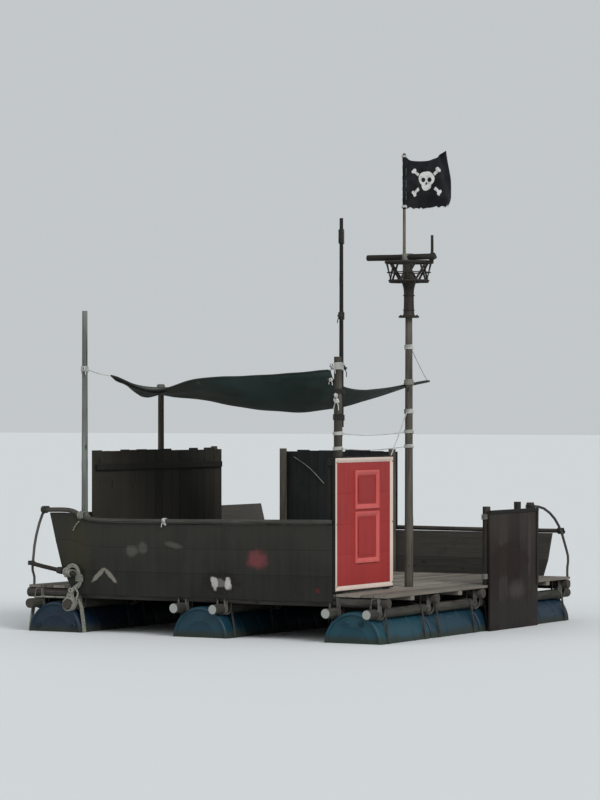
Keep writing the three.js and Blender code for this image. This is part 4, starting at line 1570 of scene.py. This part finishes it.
def cloth(name: str, grid: Array, along: Array, span: float, finish: str, node: str,
          thick: float) -> bpy.types.Object:
    """Makes a sheet of cloth with a thickness.

    Args:
        name: The piece's name.
        grid: Its middle surface.
        along: Distance of each row along the cloth.
        span: Its length across.
        finish: Its finish.
        node: The CAD node that it stands for.
        thick: Its thickness.

    Returns:
        The object.
    """
    made = piece(name, [weave(grid, along=along, span=span)], finish, node, 180)
    solid = made.modifiers.new("thickness", "SOLIDIFY")
    solid.thickness, solid.offset = thick, 0.0
    return made


@dataclass
class Canopy:
    """Tarpaulin hung from four corners: sagging front edge, folds from the corners, hem and rings."""

    front: Points = ((-1.03, -1.74, 2.606), (1.243, -1.76, 2.642))
    back: Points = ((-1.2765, -0.45, 2.502), (1.3208, -0.04, 2.56))
    width: float = 2.5
    depth: float = 1.48
    rests: Sequence[str] = ("mast_round", "nest_pole_round", "canopy_pole_round", "left_pole_round")
    rings: Points = (
        (0, 0), (1, 0), (0, 1), (1, 1), (0.5, 1), (0.33, 1), (0.75, 1), (0.2, 0), (0.4, 0))
    fans: Points = ((0, 0, 17, 0.6), (1, 0, 19, 1.9), (0, 1, 13, 2.4), (1, 1, 15, 0.3))

    def surface(self, u: Array, v: Array) -> Array:
        """Middle surface of the cloth, u along the front edge from the left and v from front to back.

        A flat quad between the corners, less: a belly 0.275 sin(pi u^1.5)^0.8 sin(pi v)^0.9, slack in each
        edge, a dip of 0.125 near the front left corner, and a steep fall of the right edge behind the mast.
        Folds are sines of the angle about each corner that die away from it, and small sines along the edges.

        Args:
            u, v: Shares along the front edge and from front to back.

        Returns:
            Points in the shape of u by 3.
        """
        near, far = ((1 - u[..., None]) * vec(*left) + u[..., None] * vec(*right)
                     for left, right in (self.front, self.back))
        flat = (1 - v[..., None]) * near + v[..., None] * far

        def arch(share: Array, power: float = 1.0) -> Array:
            """The sine of half a turn at a share, raised to a power."""
            return np.clip(np.sin(np.pi * share), 0, None) ** power

        dip = 0.125 * bell(u, 0.18, 0.14) * (1 - np.exp(-20 * u))
        fall = (dip + 0.038 * arch(u)) * (1 - v) ** 2 + 0.085 * arch(u**1.8) * v**3
        fall = fall + 0.035 * (1 - u) ** 4 * arch(v) + 0.42 * u**6 * v**0.47 * (1 - v) ** 1.3
        fall = fall + 0.275 * arch(u**1.5, 0.8) * arch(v, 0.9)
        free = np.clip(arch(u) * 1.6, 0, 1) * np.clip(arch(v) * 2.0 + 0.35, 0, 1)
        folds = 0.0035 * np.sin(41 * u + 5 * v) * (1 - v) ** 2 + 0.003 * np.sin(53 * u - 11 * v + 1.7) * v**2
        for k, (x, y, waves, phase) in enumerate(self.fans):
            across, down = abs(u - x) * 1.6 + 0.03, abs(v - y) + 0.03
            ray, off = np.sin(waves * np.arctan2(down, across) + phase), np.hypot(across, down)
            folds = folds + (0.016 - 0.002 * k) * ray * np.exp(-2.1 * off)
        folds = folds * free
        return flat + np.stack([0 * u, 0.09 * arch(u) * (1 - 2 * v) + 0.5 * folds, folds - fall], -1)

    def at(self, u: float, v: float) -> Array:
        """One point of the middle surface."""
        return self.surface(vec(u), vec(v))[0]

    def gathered(self, u: Array) -> Patch:
        """The front left corner, rolled up and gathered under the edge.

        A tube under the front edge whose radius is 15 mm plus 17 mm times a bell past its middle, drawn in at
        both ends, with ridges that twist along it.

        Args:
            u: Shares along the front edge.

        Returns:
            The patch.
        """
        share, angle = (u / u[-1])[:, None], turn(18)
        radius = (0.015 + 0.017 * bell(share, 0.6, 0.28)) * np.clip(0.25 + 9 * share, 0, 1)
        radius = radius * (1 - 0.8 * share**7)
        ridges = 1 + 0.16 * np.sin(3 * angle + 9 * share) + 0.06 * np.sin(7 * angle - 21 * share)
        line = self.surface(u, np.full(len(u), 0.03)) - radius * Z * 0.9
        return tube(line, radius * ridges, len(angle))

    def ring(self, u: float, v: float) -> Patch:
        """An eyelet that lies in the cloth near an edge place."""
        u, v = abs(u - 0.022), abs(v - 0.035)
        p = self.at(u, v)
        du, dv = unit(self.at(u + 0.01, v) - p), unit(self.at(u, min(v + 0.01, 1)) - p)
        circle = np.outer(np.cos(turn(24)), du) + np.outer(np.sin(turn(24)), dv)
        return tube(p + 0.016 * circle, 0.0042, 8, closed=True)

    def build(self) -> None:
        """Makes the cloth, its hem rope, the gathered corner and the rings."""
        u, v = np.meshgrid(np.linspace(0, 1, 150), np.linspace(0, 1, 90), indexing="ij")
        along = u[:, 0] * self.width
        sheet = cloth("canopy_sheet", self.surface(u, v), along, self.depth, "tarpaulin", "canopy", 0.0022)
        corners = ((0, 0), (1, 0), (1, 1), (0, 1), (0, 0))
        sides = [between((a, b), np.linspace(0, 1, count))[:-1]
                 for a, b, count in zip(corners, corners[1:], (90, 50, 90, 50))]
        edge = self.surface(*np.vstack(sides).T)
        inward = unit(edge.mean(axis=0) - edge) * 0.01
        rolls = [tube(edge + inward, 0.0095, 8, closed=True), self.gathered(np.linspace(0, 0.24, 60))]
        hem = piece("canopy_hem", rolls, "hem_tape", crease=60)
        rings = [self.ring(*place) for place in self.rings]
        eyelets = piece("canopy_rings", rings, "iron", crease=60)


@dataclass
class Flag:
    """Waving cloth on its staff, with a sleeve, a hem and a frayed lower edge."""

    length: float = 0.5
    height: float = 0.49
    staff: Point = (1.2887, -0.48, 4.345)
    heading: float = 60.0

    def surface(self, s: Array, h: Array) -> Array:
        """A point of the flag, s from the staff in metres and h from its middle height.

        It runs out along the heading and strays sideways by 34 mm times the share out times a sine. The top
        edge hangs 58 mm low between its corners, the upper outer corner is drawn back in one more wave, and
        the lower outer corner is drawn in.

        Args:
            s, h: Distance out, and height from the middle.

        Returns:
            Points in the shape of s by 3.
        """
        t = s / self.length
        high, low = np.clip(2 * h / self.height, 0, 1), np.clip(-2 * h / self.height, 0, 1)
        out = 0.034 * t * np.sin(7.5 * t + h * 1000 / 260) + 0.008 * t * np.sin(17 * t - h * 14)
        out = out + 0.022 * high * t * np.sin(24 * t)
        c, q = math.cos(math.radians(self.heading)), math.sin(math.radians(self.heading))
        reach = 0.0135 + s - 0.058 * t**2 * high**1.2 - 0.034 * t**3 * np.clip(2.5 * low - 1.5, 0, 1) ** 2
        slack = (1 - np.exp(-t / 0.05)) * (1 - np.clip((t - 0.42) / 0.55, 0, 1) ** 1.5)
        lift = 0.03 * t * t + 0.022 * high * t**5 - 0.058 * slack * high**1.6 + 0.016 * low**2 * t**6
        return self.staff + np.stack([reach * c - out * q, reach * q + out * c, h + lift], -1)

    def build(self) -> None:
        """Makes cloth, sleeve, hem and frayed threads."""
        half, rng = self.height / 2, np.random.default_rng(3)
        s, h = np.meshgrid(np.linspace(0, self.length, 70), np.linspace(-half, half, 70), indexing="ij")
        fray = np.interp(s[:, 0], np.linspace(0, self.length, 24), rng.uniform(0.0, 0.022, 24))
        h = np.where(h < 0, h * (1 - fray[:, None] / half), h)
        sheet = cloth(
            "flag_sheet", self.surface(s, h), s[:, 0], self.height, "flag_cloth_print", "flag", 0.0014)
        t = np.linspace(0, 1, 40)
        line = between((self.staff - Z * half, self.staff + Z * half), t)
        sleeve = tube(line, 0.0165 + 0.0016 * np.sin(t * 47) * np.sin(t * 13), 16)
        band = smooth_path(self.surface(np.full(20, 0.006), np.linspace(-0.244, 0.244, 20)), 40)
        threads = []
        for _ in range(34):
            out = rng.uniform(0.03, self.length)
            start = self.surface(vec(out), np.interp([out], s[:, 0], fray) - half)[0]
            drop = rng.uniform(0.004, 0.016)
            middle = start + vec(rng.uniform(-1, 1) * 0.003, 0, -drop / 2)
            end = start + vec(rng.uniform(-1, 1) * 0.006, 0, -drop)
            threads.append(tube(smooth_path([start, middle, end], 5), 0.0007, 4))
        hem = [sleeve, tube(band, 0.004, 8)]
        parts = [piece("flag_sleeve", hem, "flag_cloth_print", crease=60),
                 piece("flag_threads", threads, "dark_rope", crease=60)]


# Square to the bow bar, and half way between Y and Z
LEANING, SLANTING = unit(vec(0.18, 0, 0.98)), unit(Y + Z)


@dataclass
class Rigging:
    """Canes at the outer corners, lashings on the standing poles, ties of the canopy, and loose ends.

    A row of wraps says: rope, pole, height, circles, turns. Holds: rope, CAD post, height, radius. Turned:
    rope, middle, circles, turns, plane. Stays: pole, height, radius. Knots: rope, pole, place from it, size,
    seed. Ties: rope, pole, place from it, end, sag, points, radius. Loose: rope, points, their count, radius.
    """

    cane: float = 0.013
    mast: Point = (1.283, -1.69, 0)
    topmast: Point = (1.283, -1.6315, 0)
    nest: Point = (1.335, -0.48, 0)
    left: Point = (-1.255, -1.8137, 0)
    canopy: Point = (-1.305, -0.45, 0)
    staff: Point = (1.2887, -0.48, 0)
    rail: Point = (-0.37, -1.868, 0)
    left_tie: Point = (-1.79, -1.8715, 0)
    right_tie: Point = (1.809, 1.06, 0)
    left_cane: Points = (
        (-1.64, -1.8326, 1.41), (-1.708, -1.831, 1.345), (-1.762, -1.8547, 1.13), (-1.788, -1.8547, 0.94),
        (-1.8, -1.846, 0.85), (-1.81, -1.804, 0.79), (-1.81, -1.804, 0.7172))
    right_cane: Points = (
        (1.809, 1.0844, 1.405), (1.8, 1.33, 1.38), (1.778, 1.6, 1.29), (1.768, 1.78, 1.16),
        (1.795, 1.822, 1.02), (1.83, 1.818, 0.9), (1.828, 1.804, 0.8), (1.828, 1.804, 0.7172))
    loop: Points = (
        (-1.405, 0.8), (-1.395, 0.862), (-1.345, 0.905), (-1.28, 0.888), (-1.246, 0.815), (-1.256, 0.73),
        (-1.318, 0.676), (-1.352, 0.64))
    both: Points = ((0, 0, 0.0375), (0, 0.0585, 0.021))
    wraps: Sequence[tuple] = (
        ("dark", "mast", 2.235, both, 5), ("dark", "mast", 2.46, both, 4), ("white", "mast", 2.676, both, 6),
        ("dark", "topmast", 3.115, 0.019, 6), ("dark", "topmast", 3.8, 0.0175, 12),
        ("white", "left", 2.665, 0.0265, 5), ("pale", "left", 1.275, 0.031, 8),
        ("pale", "nest", 2.545, 0.034, 4), ("pale", "canopy", 2.515, 0.0288, 3),
        ("white", "nest", 2.86, 0.0328, 4), ("white", "nest", 2.285, 0.035, 4),
        ("white", "staff", 4.57, 0.0168, 2), ("white", "staff", 4.12, 0.0168, 2),
        ("pale", "nest", 3.66, ((-0.0463, 0, 0.0148), (0, 0, 0.0302)), 4),
        ("dark", "left_tie", 0.913, ((0, 0.0165, 0.013), (0, -0.016, 0.019)), 4),
        ("dark", "right_tie", 1.392, ((0, -0.025, 0.0365), (0, 0.0244, 0.0135)), 5))
    holds: Sequence[tuple] = (
        ("dark", "sign_post_front", 1.84, 0.0362), ("dark", "sign_post_rear", 1.84, 0.0362),
        ("dark", "left_rear_post", 1.9, 0.0362), ("pale", "side_post_far", 0.79, 0.0365),
        ("pale", "side_post_near", 0.79, 0.0365), ("pale", "side_post_far", 1.33, 0.0365),
        ("pale", "side_post_near", 1.33, 0.0365))
    turned: Sequence[tuple] = (
        ("pale", (-1.255, -1.866, 1.352), ((0, 0, 0.023), (0.052, 0, 0.031)), 5, Y, Z),
        ("dark", (-1.47, -1.8885, 0.853), ((0, 0, 0.021), (0.004, 0.034, 0.016)), 5, LEANING, Y),
        ("dark", (-1.652, -1.851, 1.402), ((-0.018, -0.004, 0.0225), (0.018, 0.006, 0.0135)), 5, Y, Z),
        ("white", (-0.37, -1.868, 1.3125), 0.022, 3, Y, Z),
        ("dark", (1.73, 1.862, 1.147), ((0.006, 0, 0.0215),), 6, Y, Z),
        ("pale", (1.335, -0.50805, 3.6646), ((-0.029, 0, 0.0282), (0.029, 0, 0.0302)), 5, Y, X),
        ("dark", (1.6, -0.5381, 3.6646), 0.0285, 4, X, SLANTING))
    knots: Sequence[tuple] = (
        ("white", "mast", (-0.028, -0.046, 2.68), 0.03, 1),
        ("white", "mast", (-0.046, -0.046, 2.56), 0.019, 2),
        ("white", "mast", (0.004, -0.046, 2.425), 0.021, 3),
        ("white", "mast", (0.01, -0.046, 2.375), 0.027, 9),
        ("dark", "topmast", (0.032, -0.004, 2.668), 0.028, 10),
        ("dark", "topmast", (0, -0.024, 3.115), 0.024, 4),
        ("white", "left", (0.012, -0.032, 2.668), 0.024, 5),
        ("white", "rail", (0, -0.026, 1.322), 0.022, 8))
    ties: Sequence[tuple] = (
        ("white", "left", (0.02, -0.006, 2.668), (-1.01, -1.73, 2.606), 0.012, 24, 0.005),
        ("white", "mast", (-0.02, -0.034, 2.69), (1.233, -1.76, 2.642), 0.004, 10, 0.005),
        ("white", "mast", (-0.03, -0.03, 2.685), (1.243, -1.74, 2.642), 0.002, 10, 0.005),
        ("white", "nest", (-0.03, 0.02, 2.545), (1.2709, -0.46, 2.5325), 0.004, 10, 0.005),
        ("white", "canopy", (0.02, -0.02, 2.515), (-1.25, -0.46, 2.499), 0.003, 8, 0.005),
        ("white", "nest", (0, 0.034, 2.86), (1.3008, -0.06, 2.564), 0.006, 16, 0.0035),
        ("white", "mast", (0, 0.038, 2.095), (1.335, -0.517, 2.105), 0.022, 30, 0.0035),
        ("white", "mast", (0, 0.038, 1.965), (1.335, -0.517, 1.975), 0.022, 30, 0.0035))
    loose: Sequence[tuple] = (
        ("pale", ((-1.275, -1.8737, 1.3), (-1.31, -1.8797, 1.262), (-1.34, -1.8757, 1.215)), 14, 0.006),
        ("white", ((1.335, -0.517, 2.285), (1.338, -0.66, 2.1), (1.34, -0.83, 1.894)), 26, 0.0045),
        ("pale", ((-1.18, 1.838, 1.83), (-1.0, 1.832, 1.72), (-0.84, 1.838, 1.57)), 18, 0.004))
    stays: Sequence[tuple] = (
        ("mast", 2.095, 0.0378), ("nest", 2.105, 0.0358), ("mast", 1.965, 0.0378), ("nest", 1.975, 0.0358))

    def canes(self) -> None:
        """Both bent canes, each along its own smooth line."""
        for k, (name, points) in enumerate((("left_cane", self.left_cane), ("right_cane", self.right_cane))):
            cane = timber(smooth_path(points, 80), self.cane, self.cane * 0.9, 1300 + k, 0.0, 0.06, 12)
            piece(name + "_bent", [cane], "cane_timber", name, ends="dark_end")

    def tangle(self) -> None:
        """The coil of thick rope that hangs over the bow bar and runs down to the cradle pole.

        Each turn is the loop drawn in towards its middle, bulging out where it passes over the bar.
        """
        coil = RopeWork(0.0088)
        x, z = np.array(self.loop).T
        for k in range(5):
            share, drop = 1 - 0.13 * (k % 3), 0.03 * math.sin(2.3 * k) * np.linspace(0, 1, len(x))
            y = -1.884 - 0.012 * (k % 2) - 0.026 * bell(z, 0.84, 0.05)
            turned = np.stack([-1.325 + (x + 1.325) * share, y, 0.765 + (z - 0.765) * share + drop], 1)
            coil.line(smooth_path(turned, 46))
        coil.wrap((-1.385, -1.889, 0.838), 0.0205, 4, LEANING, Y)
        coil.wrap((-1.262, -1.8935, 0.79), 0.02, 3, slant=0.006)
        coil.knot((-1.34, -1.905, 0.672), 0.034, 6)
        for k in range(3):
            coil.line(smooth_path([(-1.35 + 0.02 * k, -1.905, 0.68), (-1.362 + 0.016 * k, -1.93, 0.64),
                                   (-1.352 + 0.018 * k, -1.952 + 0.006 * k, 0.6)], 16))
        coil.line(smooth_path([(-1.3, -1.9, 0.7), (-1.262, -1.915, 0.655), (-1.272, -1.93, 0.6),
                               (-1.29, -1.935, 0.54)], 22))
        coil.wrap((-1.33, -1.945, 0.5572), 0.0455, 4, X, Z)
        coil.knot((-1.318, -1.952, 0.6172), 0.026, 7)
        coil.make("bow_coil", "pale_rope")

    def at(self, name: str) -> Array:
        """The foot of a pole's or tie's axis, at height nought."""
        return np.array(getattr(self, name))

    def build(self) -> None:
        """Makes the canes, the coil and every rope on the standing poles."""
        self.canes()
        self.tangle()
        ropes = {"pale": RopeWork(0.006), "white": RopeWork(0.005), "dark": RopeWork(0.005)}
        for rope, pole_name, level, circles, turns in self.wraps:
            ropes[rope].wrap(self.at(pole_name) + Z * level, circles, turns)
        for rope, node, level, radius in self.holds:
            x, y, _ = sum(extent(node)) / 2
            ropes[rope].wrap((x, y, level), radius, 4)
        for rope, *wrap in self.turned:
            ropes[rope].wrap(*wrap)
        for pole_name, level, radius in self.stays:
            ropes["white"].wrap(self.at(pole_name) + Z * level, radius, 3, slant=0.002)
        for rope, pole_name, off, size, seed in self.knots:
            ropes[rope].knot(self.at(pole_name) + off, size, seed)
        for rope, pole_name, off, end, sag, count, thick in self.ties:
            ropes[rope].line(sagging(self.at(pole_name) + off, end, sag, count), thick)
        for rope, points, count, thick in self.loose:
            ropes[rope].line(smooth_path(points, count), thick)
        ropes["pale"].make("pale_lashings", "pale_rope")
        ropes["white"].make("white_ties", "white_rope")
        ropes["dark"].make("dark_lashings", "dark_rope", "dark_pole")


def main() -> None:
    """Builds the studio, the finishes and every part of the raft, in order."""
    logging.basicConfig(level=logging.INFO, format="%(name)s: %(message)s")
    Studio().build()
    PAINT.update({finish.name: finish.build() for finish in FINISHES})
    for part in (Floats, PoleFrame, Deck, Hull, Posts, Walls, Sign, CrowsNest, Canopy, Flag, Rigging):
        part().build()


if __name__ == "__main__":
    main()
